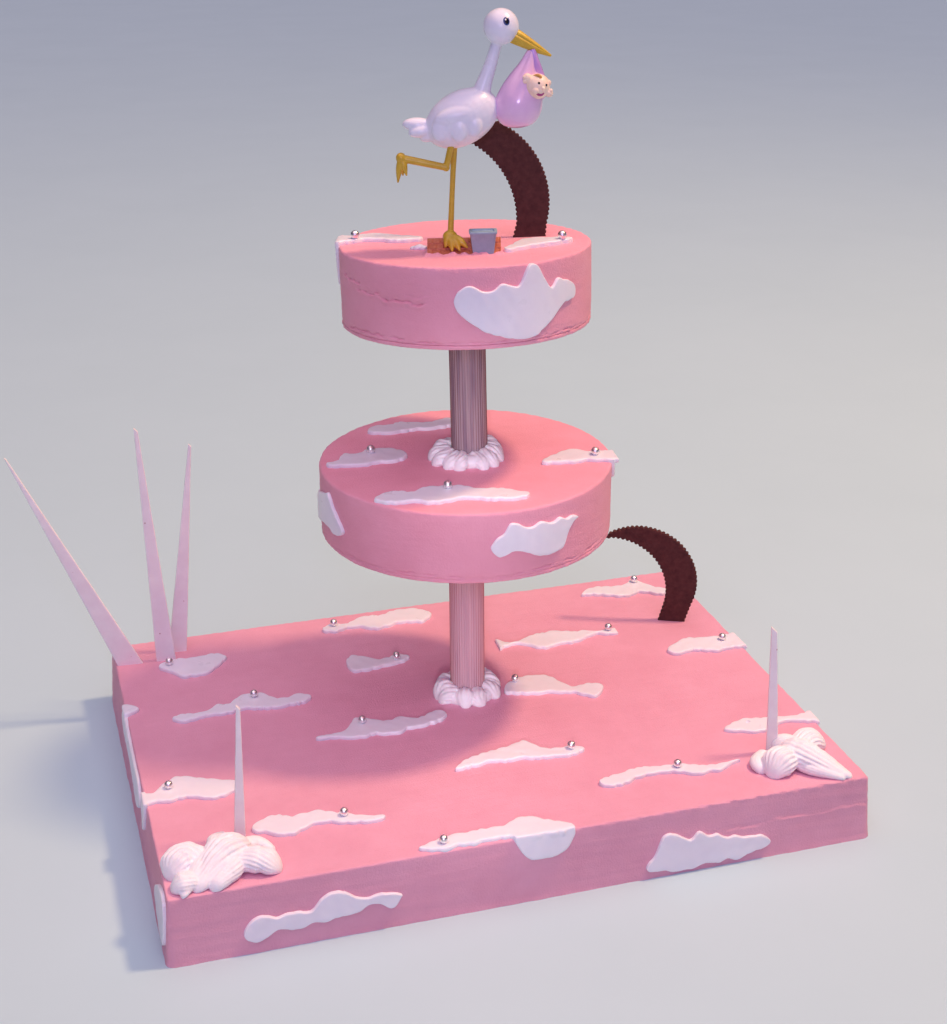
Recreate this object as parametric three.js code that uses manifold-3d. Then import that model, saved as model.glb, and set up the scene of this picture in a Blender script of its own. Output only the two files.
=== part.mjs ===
// Tiered celebration cake: three iced tiers held apart by clear fluted columns and dressed with
// rolled-icing clouds, sugar pearls, piped cream, sugar shards, chocolate crescents and a stork.
// Millimetres, +Z up. The origin is the centre of the base tier's underside, +X runs along its
// long side and -Y is the side that faces a guest.

import * as THREE from 'three';
import { mergeVertices } from 'three/addons/utils/BufferGeometryUtils.js';
import Module from 'manifold-3d';

const wasm = await Module();
wasm.setup();

// Tiers, plates and columns
const BASE = { length: 566, width: 415, height: 56, flare: 4.6, corner: 7, cornerSteps: 5 };
const MIDDLE = { radius: 122.4, bottom: 223.6, height: 56.1 };
const TOP = { radius: 101, rise: 122.4, height: 59.7 };
const TIER_FACETS = 64;
const EDGE = { reach: 3.5, shoulder: 1.05 };
const PLATE = { thickness: 3.2, inset: 0.3 };
const COLUMN = { x: 12.3, y: 24.4, radius: 15.2, flutes: 40, fluteDepth: 0.7 };
const TOP_LEAN = THREE.MathUtils.degToRad(2.9);
const TOP_SHIFT = [3.4, -1];

// The side that shows best is turned a little to the left of -Y
const FACING = THREE.MathUtils.degToRad(-16.5);
const FACING_GENERATOR = THREE.MathUtils.degToRad(-106.25);

// Toppings
const GAP = 0.3;
const CLOUD = { thickness: 3.5, bevel: 1.2, endTaper: 0.45 };
const PEARL = { radius: 3.5, sink: 0.8, around: 8, rings: 4 };
const SHARD = { thickness: 3.6, bevel: 0.7 };
const CRESCENT = { thickness: 5, toothPitch: 4.6, toothDepth: 0.9 };
const PIPING = { ridges: 5, ridgeDepth: 0.18, lift: 0.6, steps: 4, endTaper: 0.45 };
const SHELL = { lobeDepth: 5, ridgeDepth: 0.8, lowest: 0.55, clearance: 1 };
const LOWER_RING = { shells: 10, ridges: 3, outer: 30, height: 12, drift: [-0.5, 0] };
const UPPER_RING = { shells: 13, ridges: 2, outer: 34, height: 12, drift: [-3.2, 1] };

// Marks in the icing: a ledge where it overlaps on the base tier's front, and cracks that wander
const LEDGE = {
  from: 150, to: 272, height: 35, fall: 3, steps: 14, wander: 1.4, wave: 5.1,
  halfHeight: 2.6, lip: 0.2, proud: 1, sunk: 3,
};
const CRACK = { depth: 1.3, halfWidth: 0.7, reach: 1, wander: 1.2, wave: 2.6 };
const TOP_CRACKS = [
  { from: [-120, 37], to: [-32, 30], steps: 9 },
  { from: [-60, 33], to: [-28, 38], steps: 4 },
];

const MIDDLE_TOP = MIDDLE.bottom + MIDDLE.height;
const { PI } = Math;

// Finishes
const finish = (color, roughness, metalness = 0) =>
  new THREE.MeshStandardMaterial({ color, roughness, metalness });
const ICING = finish('#e08f9f', 0.6);
const ROLLED_ICING = finish('#efdfe2', 0.35);
const CREAM = finish('#f6eef0', 0.5);
const SUGAR = finish('#ddd0d8', 0.5);
const CHOCOLATE = finish('#4a2530', 0.55);
const CLEAR_PLASTIC = finish('#c9a5b8', 0.15);
const WHITE_PLASTIC = finish('#e6dbe6', 0.3);
const OCHRE_PLASTIC = finish('#b8862b', 0.35);
const PINK_PLASTIC = finish('#cf9bd0', 0.3);
const SKIN_PLASTIC = finish('#d9a77c', 0.4);
const BRICK_PLASTIC = finish('#a8503c', 0.5);
const GREY_PLASTIC = finish('#8f84a3', 0.5);

// Solids

/** Turns a closed geometry into a solid, with shared corners merged and faces pointing out. */
function solid(geometry) {
  const bare = geometry.clone();
  bare.deleteAttribute('normal');
  bare.deleteAttribute('uv');
  const merged = mergeVertices(bare, 1e-4);
  const position = merged.attributes.position;
  const corner = [0, 1, 2].map(() => new THREE.Vector3());
  const faces = [];
  let volume = 0;
  for (let i = 0; i < merged.index.count; i += 3) {
    const face = [0, 1, 2].map((k) => merged.index.getX(i + k));
    if (new Set(face).size < 3) continue;
    face.forEach((vertex, k) => corner[k].fromBufferAttribute(position, vertex));
    volume += corner[0].dot(corner[1].clone().cross(corner[2]));
    faces.push(face);
  }
  const outward = volume > 0 ? faces : faces.map(([a, b, c]) => [a, c, b]);
  return new wasm.Manifold(new wasm.Mesh({
    numProp: 3,
    vertProperties: new Float32Array(position.array),
    triVerts: new Uint32Array(outward.flat()),
  }));
}

const union = (solids) => solids.reduce((whole, part) => whole.add(part));

/** Adds a named mesh of a solid to a group. */
function addMesh(group, name, body, material) {
  const { vertProperties, triVerts } = body.getMesh();
  const geometry = new THREE.BufferGeometry();
  geometry.setAttribute('position', new THREE.BufferAttribute(vertProperties, 3));
  geometry.setIndex(new THREE.BufferAttribute(triVerts, 1));
  geometry.computeVertexNormals();
  const mesh = new THREE.Mesh(geometry, material);
  mesh.name = name;
  group.add(mesh);
  return mesh;
}

/** Skins a row of rings, each with the same number of points: round a loop, or capped at both ends. */
function loft(rings, loop = false) {
  const count = rings[0].length;
  const index = [];
  for (let i = 0; i < rings.length - (loop ? 0 : 1); i += 1) {
    const next = ((i + 1) % rings.length) * count;
    for (let j = 0; j < count; j += 1) {
      const k = (j + 1) % count;
      index.push(i * count + j, i * count + k, next + k, i * count + j, next + k, next + j);
    }
  }
  const last = (rings.length - 1) * count;
  for (let j = 1; j + 1 < count && !loop; j += 1) {
    index.push(0, j + 1, j, last, last + j, last + j + 1);
  }
  const geometry = new THREE.BufferGeometry().setFromPoints(rings.flat());
  geometry.setIndex(index);
  return geometry;
}

/** Revolves a profile of [radius, height] points, from axis to axis, about Z. */
function revolve(profile, segments = TIER_FACETS) {
  const points = profile.map(([radius, height]) => new THREE.Vector2(radius, height));
  return solid(new THREE.LatheGeometry(points, segments).rotateX(PI / 2));
}

function ellipsoid([x, y, z], [rx, ry, rz], { tilt = 0, around = 12, rings = 8 } = {}) {
  const ball = new THREE.SphereGeometry(1, around, rings);
  return solid(ball.scale(rx, ry, rz).rotateY(-THREE.MathUtils.degToRad(tilt)).translate(x, y, z));
}

/** A round tube through points, with a radius at each, closed at both ends. */
function tube(points, radii, sides = 8) {
  const path = points.map((point) => new THREE.Vector3(...point));
  const rings = path.map((centre, i) => {
    const before = path[Math.max(i - 1, 0)];
    const after = path[Math.min(i + 1, path.length - 1)];
    const along = after.clone().sub(before).normalize();
    const side = Math.abs(along.y) > 0.9 ? new THREE.Vector3(1, 0, 0) : new THREE.Vector3(0, 1, 0);
    side.addScaledVector(along, -side.dot(along)).normalize();
    const up = along.clone().cross(side);
    return Array.from({ length: sides }, (_, j) => {
      const turn = (2 * PI * j) / sides;
      return centre.clone()
        .addScaledVector(side, radii[i] * Math.cos(turn))
        .addScaledVector(up, radii[i] * Math.sin(turn));
    });
  });
  return solid(loft(rings));
}

/** A flat outline of [x, z] points that stands upright, its thickness centred on y = 0. */
function standing(outline, thickness, bevel = 0) {
  const shape = new THREE.Shape(outline.map(([x, z]) => new THREE.Vector2(x, z)));
  const options = {
    depth: thickness - 2 * bevel,
    bevelEnabled: bevel > 0,
    bevelThickness: bevel,
    bevelSize: bevel,
    bevelOffset: -bevel,
    bevelSegments: 1,
  };
  const geometry = new THREE.ExtrudeGeometry(shape, options).rotateX(PI / 2);
  return geometry.translate(0, thickness / 2 - bevel, 0);
}

// Tiers, plates and columns

/** The base tier's outline at a height, moved out or in from the top edge's outline. */
function baseRing(z, outset) {
  const radius = BASE.corner + outset;
  const inner = [BASE.length / 2 - BASE.corner, BASE.width / 2 - BASE.corner];
  const steps = BASE.cornerSteps;
  const quarters = [[1, 1], [-1, 1], [-1, -1], [1, -1]];
  return quarters.flatMap(([sx, sy], quarter) => Array.from({ length: steps }, (_, i) => {
    const turn = (quarter + i / (steps - 1)) * (PI / 2);
    return new THREE.Vector3(
      sx * inner[0] + radius * Math.cos(turn),
      sy * inner[1] + radius * Math.sin(turn),
      z,
    );
  }));
}

/** How far the base tier's side stands out at a height: it leans out towards the foot. */
const baseOutset = (z) => BASE.flare * (1 - z / BASE.height);

/** A ledge of overlapped icing along the right of the base tier's front. */
function baseLedge() {
  const { from, to, height, fall, steps, wander, wave, halfHeight, lip, proud, sunk } = LEDGE;
  const rings = Array.from({ length: steps + 1 }, (_, i) => {
    const share = i / steps;
    const x = from + (to - from) * share;
    const z = height - fall * share + wander * Math.sin(wave * i);
    const face = -BASE.width / 2 - baseOutset(z);
    return [
      new THREE.Vector3(x, face + sunk, z - halfHeight),
      new THREE.Vector3(x, face - lip, z - halfHeight),
      new THREE.Vector3(x, face - proud, z),
      new THREE.Vector3(x, face + sunk, z + halfHeight),
    ];
  });
  return solid(loft(rings));
}

function baseCake() {
  const { height } = BASE;
  const { reach, shoulder } = EDGE;
  const rings = [
    baseRing(0, baseOutset(0)),
    baseRing(height - reach, baseOutset(height - reach)),
    baseRing(height - shoulder, -shoulder),
    baseRing(height, -reach),
  ];
  return solid(loft(rings)).add(baseLedge());
}

function roundCake({ radius, height }) {
  const { reach, shoulder } = EDGE;
  return revolve([
    [0, 0], [radius, 0], [radius, height - reach], [radius - shoulder, height - shoulder],
    [radius - reach, height], [0, height],
  ]);
}

function plate({ radius }) {
  const { thickness, inset } = PLATE;
  const rim = radius - inset;
  return revolve([[0, 0], [rim, 0], [rim, thickness], [0, thickness]]);
}

/** A fluted column standing on z = 0. */
function column(height) {
  const { radius, flutes, fluteDepth } = COLUMN;
  const outline = Array.from({ length: 2 * flutes }, (_, i) => {
    const turn = (PI * i) / flutes;
    const reach = i % 2 ? radius - fluteDepth : radius;
    return new THREE.Vector2(reach * Math.cos(turn), reach * Math.sin(turn));
  });
  const options = { depth: height, bevelEnabled: false };
  return solid(new THREE.ExtrudeGeometry(new THREE.Shape(outline), options));
}

// Rolled-icing clouds

// A cloud lies along a line on its surface. Evenly spaced stations along the line give how far
// it reaches to the back (or up) and to the front (or down). A flap hangs over the tier's edge,
// on the side that fold names.

/** Where a point of a surface lies: u and v on the surface, w off it. */
const surfaces = {
  baseTop: ([u, v], w) => new THREE.Vector3(u, v, BASE.height + w),
  baseFront: ([u, v], w) => new THREE.Vector3(u, -BASE.width / 2 - baseOutset(v) - GAP - w, v),
  baseBack: ([u, v], w) => new THREE.Vector3(-u, BASE.width / 2 + baseOutset(v) + GAP + w, v),
  baseLeft: ([u, v], w) => new THREE.Vector3(-BASE.length / 2 - baseOutset(v) - GAP - w, -u, v),
  baseRight: ([u, v], w) => new THREE.Vector3(BASE.length / 2 + baseOutset(v) + GAP + w, u, v),
  tierTop: (tier, lift) => ([u, v], w) => new THREE.Vector3(u, v, tier.height + lift + w),
  tierSide: (tier) => ([u, v], w) => {
    const turn = FACING_GENERATOR + u / tier.radius;
    const reach = tier.radius + GAP + w;
    return new THREE.Vector3(reach * Math.cos(turn), reach * Math.sin(turn), v);
  },
};

function cloudSlab({ from, to, back, front, blunt = [false, false] }, surface) {
  const { thickness, bevel, endTaper } = CLOUD;
  const line = new THREE.Vector2(...to).sub(new THREE.Vector2(...from));
  const along = line.clone().normalize();
  const across = new THREE.Vector2(-along.y, along.x);
  const taper = (end, reach) => (blunt[end] ? reach : endTaper * reach);
  const last = back.length - 1;
  const backs = [taper(0, back[0]), ...back, taper(1, back[last])];
  const fronts = [taper(0, front[0]), ...front, taper(1, front[last])];
  const rings = backs.map((reach, i) => {
    const foot = new THREE.Vector2(...from).addScaledVector(line, i / (backs.length - 1));
    const section = [
      [-fronts[i], 0], [reach, 0], [reach, thickness - bevel],
      [reach - bevel, thickness], [bevel - fronts[i], thickness], [-fronts[i], thickness - bevel],
    ];
    return section.map(([v, w]) => surface(foot.clone().addScaledVector(across, v).toArray(), w));
  });
  return solid(loft(rings));
}

/** A sugar pearl pressed into a cloud, at a point of the cloud's surface. */
function pearl(at, surface) {
  const { radius, sink, around, rings } = PEARL;
  const ball = new THREE.SphereGeometry(radius, around, rings).rotateX(PI / 2);
  const centre = surface(at, CLOUD.thickness + radius - sink);
  return solid(ball.translate(...centre.toArray()));
}

function cloud(spec, surface, flapSurface) {
  const parts = [cloudSlab(spec, surface)];
  if (spec.flap) parts.push(cloudSlab({ blunt: [true, true], ...spec.flap }, flapSurface));
  if (spec.pearl) parts.push(pearl(spec.pearl, surface));
  return union(parts);
}

const edgeX = BASE.length / 2 + CLOUD.thickness + GAP;
const frontEdge = BASE.width / 2 + CLOUD.thickness + GAP;
const brim = CLOUD.thickness;

const BASE_TOP_CLOUDS = [
  { from: [-246, 150], to: [-183, 150], pearl: [-236, 150],
    back: [9, 10, 10, 10], front: [18, 26, 25, 16] },
  { from: [-86, 181], to: [22, 183], pearl: [-75, 182],
    back: [8, 8, 12, 13, 13, 13], front: [3, 5, 12, 13, 10, 13] },
  { from: [-80, 96], to: [-22, 102], pearl: [-34, 99],
    back: [22, 13, 4, 5], front: [7, 9, 9, 8] },
  { from: [-244, 52], to: [-123, 55], pearl: [-172, 67],
    back: [3, 3, 10, 13, 21, 17, 6, 5], front: [8, 7, 6, 4, 4, 9, 8, 8] },
  { from: [-134, -16], to: [-17, -12], pearl: [-91, -6],
    back: [3, 3, 19, 17, 6, 5, 2, 6], front: [5, 11, 13, 13, 17, 13, 11, 10] },
  { from: [176, 177], to: [262, 163], pearl: [236, 187],
    back: [14, 16, 16, 22, 30, 15], front: [3, 6, 11, 6, 3, 11] },
  { from: [63, 99], to: [180, 93], pearl: [173, 95],
    back: [6, 5, 11, 13, 15, 8, 5, 6], front: [5, 7, 16, 14, 14, 11, 5, 3] },
  { from: [212, 40], to: [edgeX, 42], pearl: [268, 44], blunt: [false, true],
    back: [13, 17, 15, 16, 14], front: [7, 6, 12, 14, 13],
    fold: 'baseRight', flap: { from: [28, BASE.height], to: [55, BASE.height],
      back: [brim, brim, brim], front: [9, 13, 10] } },
  { from: [44, 16], to: [129, -4], pearl: [57, 25],
    back: [18, 23, 24, 21, 8, 3, 4], front: [9, 9, 10, 9, 10, 10, 18] },
  { from: [-35, -98], to: [77, -99], pearl: [66, -99],
    back: [9, 14, 16, 18, 24, 18, 7, 7], front: [2, 2, 2, 3, 4, 6, 8, 8] },
  { from: [201, -107], to: [edgeX, -107], blunt: [false, true],
    back: [5, 9, 10, 9, 6, 5], front: [5, 10, 12, 6, 3, 6],
    fold: 'baseRight', flap: { from: [-113, BASE.height], to: [-102, BASE.height],
      back: [brim, brim], front: [8, 9] } },
  { from: [70, -153], to: [192, -159], pearl: [139, -152],
    back: [6, 9, 12, 11, 9, 5, 3, 3], front: [7, 6, 2, 2, 4, 9, 6, 8] },
  { from: [-edgeX, -68], to: [-205, -71], pearl: [-263, -61], blunt: [true, false],
    back: [8, 20, 24, 18, 13, 9], front: [9, 9, 8, 8, 14, 12],
    fold: 'baseLeft', flap: { from: [60, BASE.height], to: [78, BASE.height],
      back: [brim, brim, brim], front: [16, 24, 20] } },
  { from: [-205, -136], to: [-107, -147], pearl: [-137, -141],
    back: [9, 14, 11, 14, 11, 5, 2], front: [13, 15, 7, 3, 6, 8, 9] },
  { from: [-93, -199], to: [30, -203], pearl: [-73, -200],
    back: [5, 6, 8, 10, 12, 15, 15, 10, 5],
    front: [4, 5, 5, 4, 3, 7, frontEdge - 202, frontEdge - 202, frontEdge - 203],
    fold: 'baseFront', flap: { from: [-16, BASE.height], to: [30, BASE.height],
      back: [brim, brim, brim, brim], front: [13, 18, 18, 14] } },
];

const BASE_SIDE_CLOUDS = {
  baseFront: [
    { from: [-229, 17], to: [-110, 27],
      back: [12, 9, 9, 7, 15, 13, 5, 4], front: [8, 4, 2, 4, 4, 3, 2, 5] },
    { from: [90, 10], to: [195, 15],
      back: [23, 24, 19, 18, 15, 11, 7], front: [5, 8, 8, 8, 10, 10, 6] },
  ],
  baseLeft: [
    { from: [-88, 44], to: [46, 30], back: [9, 8, 11, 10, 8, 7], front: [10, 15, 13, 15, 11, 8] },
    { from: [150, 30], to: [204, 32], back: [9, 15, 13], front: [10, 16, 13] },
  ],
  baseRight: [
    { from: [-62, 27], to: [44, 23], back: [9, 7, 15, 12, 7], front: [6, 9, 8, 11, 6] },
  ],
  baseBack: [
    { from: [-186, 25], to: [-72, 21], back: [7, 14, 12, 8, 6], front: [8, 7, 9, 8, 5] },
    { from: [58, 24], to: [176, 29], back: [8, 7, 14, 13, 6], front: [9, 11, 7, 9, 7] },
  ],
};

const MIDDLE_TOP_CLOUDS = [
  { from: [-95, -72], to: [25, -95], pearl: [-35, -69],
    back: [14, 14, 19, 20, 20, 15, 11, 8], front: [10, 6, 8, 9, 5, 5, 7, 7] },
  { from: [-114, 14], to: [-46, 20], pearl: [-75, 27],
    back: [6, 16, 14, 18, 16], front: [8, 11, 11, 13, 13] },
  { from: [-64, 82], to: [18, 84], back: [10, 12, 11, 12, 8, 8], front: [9, 10, 11, 10, 11, 10] },
  { from: [56, -33], to: [119, -41], pearl: [103, -34], blunt: [false, true],
    back: [8, 19, 18, 12], front: [5, 6, 5, 7],
    flap: { from: [178, MIDDLE.height], to: [198, MIDDLE.height],
      back: [brim, brim, brim], front: [11, 17, 13] } },
];

const MIDDLE_SIDE_CLOUDS = [
  { from: [20, 21], to: [97, 35], back: [11, 18, 10, 10, 8, 6], front: [6, 7, 13, 17, 18, 7] },
  { from: [-206, 35], to: [-114, 18],
    back: [17, 15, 11, 13, 16, 20, 8], front: [14, 14, 13, 12, 11, 10, 8] },
  { from: [320, 28], to: [420, 24], back: [8, 14, 10, 15, 9, 5], front: [7, 12, 9, 11, 10, 6] },
];

const TOP_TOP_CLOUDS = [
  { from: [-97, 38], to: [-29, 19], pearl: [-83, 30], blunt: [true, false],
    back: [13, 14, 14, 12, 9], front: [14, 12, 10, 9, 8],
    flap: { from: [-183, TOP.height], to: [-153, TOP.height],
      back: [brim, brim, brim, brim], front: [22, 34, 30, 18] } },
  { from: [20, -54], to: [82, -35], pearl: [70, -39],
    back: [5, 9, 12, 12, 9], front: [4, 7, 6, 6, 6] },
];

const TOP_SIDE_CLOUDS = [
  { from: [-9, 31], to: [97, 30],
    back: [9, 12, 8, 6, 11, 12, 13, 18, 26, 16, 8, 10, 11, 8],
    front: [7, 12, 17, 21, 24, 27, 30, 30, 28, 26, 22, 18, 14, 9] },
  { from: [262, 25], to: [352, 31], back: [10, 15, 9, 13, 8], front: [8, 13, 12, 10, 8] },
];

function addClouds(group, prefix, specs, surface, flapSurface) {
  specs.forEach((spec, i) => {
    addMesh(group, `cloud_${prefix}_${i + 1}`, cloud(spec, surface, flapSurface), ROLLED_ICING);
  });
}

function addBaseClouds(group) {
  BASE_TOP_CLOUDS.forEach((spec, i) => {
    const body = cloud(spec, surfaces.baseTop, surfaces[spec.fold]);
    addMesh(group, `cloud_base_top_${i + 1}`, body, ROLLED_ICING);
  });
  Object.entries(BASE_SIDE_CLOUDS).forEach(([side, specs]) => {
    const prefix = `base_${side.slice(4).toLowerCase()}`;
    addClouds(group, prefix, specs, surfaces[side]);
  });
}

// Piped cream

/** A ridged stroke of cream from a star nozzle, flat where it lies on z = 0. */
function pipedStroke(points, radii) {
  const { ridges, ridgeDepth, lift, steps, endTaper } = PIPING;
  const path = new THREE.CatmullRomCurve3(points.map(([x, y, z]) => new THREE.Vector3(x, y, z)));
  const sizes = new THREE.CatmullRomCurve3(radii.map((r, i) => new THREE.Vector3(r, i, 0)));
  const rings = Array.from({ length: steps + 1 }, (_, i) => {
    const share = i / steps;
    const radius = sizes.getPoint(share).x * (i === 0 || i === steps ? endTaper : 1);
    const centre = path.getPoint(share);
    const along = path.getTangent(share);
    const side = new THREE.Vector3(along.y, -along.x, 0).normalize();
    return Array.from({ length: 2 * ridges }, (_ignored, j) => {
      const turn = (PI * j) / ridges;
      const reach = radius * (j % 2 ? 1 - ridgeDepth : 1);
      const point = centre.clone().addScaledVector(side, reach * Math.cos(turn));
      point.z = Math.max(0, centre.z + lift * radius + reach * Math.sin(turn));
      return point;
    });
  });
  return solid(loft(rings));
}

/** A ring of piped shells round a column's foot, not quite centred on it: plump ridged lobes. */
function shellRing({ shells, ridges, outer, height, drift }) {
  const { lobeDepth, ridgeDepth, lowest } = SHELL;
  const inner = COLUMN.radius + SHELL.clearance;
  const steps = 2 * shells * ridges;
  const rings = Array.from({ length: steps }, (_, i) => {
    const turn = (2 * PI * i) / steps;
    const lobe = Math.sin((PI * ((i + 0.5) % (2 * ridges))) / (2 * ridges));
    const groove = i % 2 ? ridgeDepth : 0;
    const reach = outer - lobeDepth * (1 - lobe) - groove;
    const crown = height * (lowest + (1 - lowest) * lobe) - groove;
    const section = [
      [inner, 0, 0], [inner, 0.7 * crown, 0], [(inner + reach) / 2, crown, 0.6],
      [reach, 0.45 * crown, 1], [reach - 1, 0, 1],
    ];
    return section.map(([radius, z, loose]) => new THREE.Vector3(
      radius * Math.cos(turn) + loose * drift[0],
      radius * Math.sin(turn) + loose * drift[1],
      z,
    ));
  });
  return solid(loft(rings, true));
}

// Each stroke of a heap: its path on the base tier's top and its radius along the path
const LEFT_HEAP = [
  { path: [[-248, -178, 1], [-267, -170, 2], [-281, -177, 0]], radii: [6, 12, 9] },
  { path: [[-219, -157, 1], [-244, -180, 2], [-270, -205, 0]], radii: [10, 12.5, 5] },
  { path: [[-238, -186, 1], [-217, -193, 1], [-197, -194, 0]], radii: [7, 10.5, 10] },
  { path: [[-237, -169, 0], [-235, -154, 1], [-229, -144, 1]], radii: [7, 7.5, 6] },
  { path: [[-223, -164, 1], [-208, -163, 1], [-199, -172, 0]], radii: [8, 6.5, 5.5] },
  { path: [[-256, -191, 0], [-270, -193, 0], [-280, -190, 0]], radii: [7, 8, 6] },
];
const RIGHT_HEAP = [
  { path: [[234, -172, 1], [216, -176, 2], [203, -182, 0]], radii: [7, 11, 10] },
  { path: [[225, -161, 2], [245, -184, 1], [263, -202, 0]], radii: [9, 9, 3] },
  { path: [[236, -168, 2], [256, -152, 1], [268, -152, 0]], radii: [7, 10, 9] },
  { path: [[224, -156, 1], [233, -156, 3], [243, -160, 1]], radii: [6, 9, 7] },
  { path: [[205, -175, 0], [207, -164, 1], [219, -157, 1]], radii: [5, 5, 6] },
];

/** A heap of piped strokes, joined to one and cut clear of the shard that stands in it. */
function creamHeap(strokes, shardBody) {
  const joined = union(strokes.map(({ path, radii }) => pipedStroke(path, radii)));
  return joined.translate([0, 0, BASE.height]).subtract(shardBody);
}

// Sugar shards

// Base centre on the base tier's top, the tip's offset from it, and the width at both ends
const SHARDS = {
  shard_back_left: { at: [-269, 168], lean: [-89, 212], width: [23, 2], turn: -3 },
  shard_back_middle: { at: [-237, 166], lean: [-9, 229], width: [18, 3.5], turn: -4 },
  shard_back_right: { at: [-225, 180], lean: [26, 205], width: [17, 2.4], turn: -5 },
  shard_front_left: { at: [-219.3, -143], lean: [5.5, 115], width: [9, 3], turn: -5 },
  shard_front_right: { at: [225.3, -149], lean: [-5, 116], width: [10, 5], turn: -20 },
};

/** A flat tapered shard on a flat foot, grown all round by a margin. */
function shard({ at, lean, width, turn }, margin = 0) {
  const [foot, tip] = width.map((w) => w / 2 + margin);
  const outline = [
    [-foot, -margin], [foot, -margin], [lean[0] + tip, lean[1] - 2 * tip], [lean[0] - tip, lean[1]],
  ];
  const blade = standing(outline, SHARD.thickness + 2 * margin, SHARD.bevel);
  const turned = blade.rotateZ(THREE.MathUtils.degToRad(turn));
  return solid(turned.translate(at[0], at[1], BASE.height));
}

// Chocolate crescents

// Circles are [x, z, radius] from the middle of the foot, and the foot is its left and right end.
// The arcs rise from footRise and stop at an x, from where the end runs to a point. A crescent
// stands at a place on its tier's top, turned about Z.
const BASE_CRESCENT = {
  outer: [-33.4, 40.5, 55.8], inner: [-60.1, 30.7, 54.5],
  foot: [-11.8, 12.2], footRise: 18, stop: -58, tip: [-70, 83],
  at: [240.9, 102.4], turn: THREE.MathUtils.degToRad(-24),
};
const TOP_CRESCENT = {
  outer: [-53.6, 28.3, 69.5], inner: [-80.2, 14.6, 70.2],
  foot: [-12.8, 12.6], footRise: 10, stop: -62, tip: [-78, 86],
  at: [55, 1], turn: FACING,
};

/** Points on a circle from a height on its right to an x on its top, alternately on and off it. */
function scallopedArc([cx, cz, radius], startZ, stopX, depth) {
  const start = Math.asin((startZ - cz) / radius);
  const stop = Math.acos((stopX - cx) / radius);
  const teeth = 2 * Math.round((radius * (stop - start)) / CRESCENT.toothPitch);
  return Array.from({ length: teeth + 1 }, (_, i) => {
    const turn = start + ((stop - start) * i) / teeth;
    const reach = radius - (i % 2 ? 0 : depth);
    return [cx + reach * Math.cos(turn), cz + reach * Math.sin(turn)];
  });
}

function crescent({ outer, inner, foot, footRise, stop, tip }) {
  const { toothDepth, thickness } = CRESCENT;
  const outline = [
    [foot[0], 0], [foot[1], 0],
    ...scallopedArc(outer, footRise, stop, toothDepth), tip,
    ...scallopedArc(inner, footRise, stop, -toothDepth).reverse(),
  ];
  return solid(standing(outline, thickness));
}

function addCrescent(group, name, spec, height) {
  const moon = addMesh(group, name, crescent(spec), CHOCOLATE);
  moon.rotation.z = spec.turn;
  moon.position.set(...spec.at, height);
}

// The stork on its roof, facing +X, from the middle of the roof's foot

const STORK_PLACE = [-10, -38];
const ROOF = { from: -30, to: 27, half: 15, ridge: 10.5, courses: 3, step: 0.8 };
const CHIMNEY = { x: 13.4, y: -9, foot: [16.5, 13], brim: [22, 17], height: 17.6, lip: 1.6 };

/** A gabled roof with stepped tile courses, grown all round by a margin. */
function roof(margin = 0) {
  const { from, to, half, ridge, courses, step } = ROOF;
  const slope = Array.from({ length: courses }, (_, i) => {
    const out = (half + margin) * (1 - i / courses);
    const z = (ridge * i) / courses + margin;
    return [[-out, z], [-out, z + step]];
  }).flat();
  const outline = [[-half - margin, -margin], ...slope, [0, ridge + margin]];
  const mirrored = [...slope].reverse().map(([y, z]) => [-y, z]);
  const gable = standing([...outline, ...mirrored, [half + margin, -margin]], to - from + 2 * margin);
  return solid(gable.rotateZ(PI / 2).translate((from + to) / 2, 0, 0));
}

function chimney() {
  const { x, y, foot, brim: rim, height, lip } = CHIMNEY;
  const ring = ([w, d], z) => [[1, 1], [-1, 1], [-1, -1], [1, -1]]
    .map(([sx, sy]) => new THREE.Vector3(x + (sx * w) / 2, y + (sy * d) / 2, z));
  const shaft = loft([ring(foot, 0), ring(rim, height - lip), ring(rim, height)]);
  return solid(shaft).subtract(roof(GAP));
}

const BIRD = {
  body: { at: [-1.5, 0, 102], size: [28, 19, 21.5], tilt: 21 },
  head: { at: [29.7, 0, 167.8], radius: 13.4 },
  neck: { points: [[14, 0, 116], [17.2, 0, 127], [21.5, 0, 140], [26, 0, 155], [28, 0, 161]],
    radii: [7.5, 5.2, 4, 3.7, 4.4] },
  wing: { at: [-5, 14.5, 100], size: [21, 6.5, 13], tilt: 22 },
  feathers: [
    { at: [-36, 0, 98.5], size: [10, 6, 5.5] },
    { at: [-32, -3, 94], size: [9, 5, 5] },
    { at: [-32, 4, 95], size: [9, 5, 5] },
  ],
};

/** The stork's head, neck, body, wings and tail, grown all round by a margin. */
function birdBody(margin = 0) {
  const { body, head, neck, wing, feathers } = BIRD;
  const grown = (size) => size.map((reach) => reach + margin);
  const smooth = { around: 16, rings: 8 };
  const wings = [-1, 1].map((side) => {
    const at = [wing.at[0], side * wing.at[1], wing.at[2]];
    return ellipsoid(at, grown(wing.size), { tilt: wing.tilt, around: 10, rings: 6 });
  });
  return union([
    ellipsoid(body.at, grown(body.size), { tilt: body.tilt, ...smooth }),
    ellipsoid(head.at, grown([head.radius, head.radius, head.radius]), { around: 12, rings: 8 }),
    tube(neck.points, grown(neck.radii), 8),
    ...wings,
    ...feathers.map(({ at, size }) => ellipsoid(at, grown(size), { around: 8, rings: 5 })),
  ]);
}

const BEAK = { points: [[33, 0, 164.4], [44, 0, 158.4], [57, 0, 151.2], [67, 0, 145.8]],
  radii: [7, 6, 3.6, 0.9] };
const beak = (margin = 0) => tube(BEAK.points, BEAK.radii.map((r) => r + margin), 10);

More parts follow.
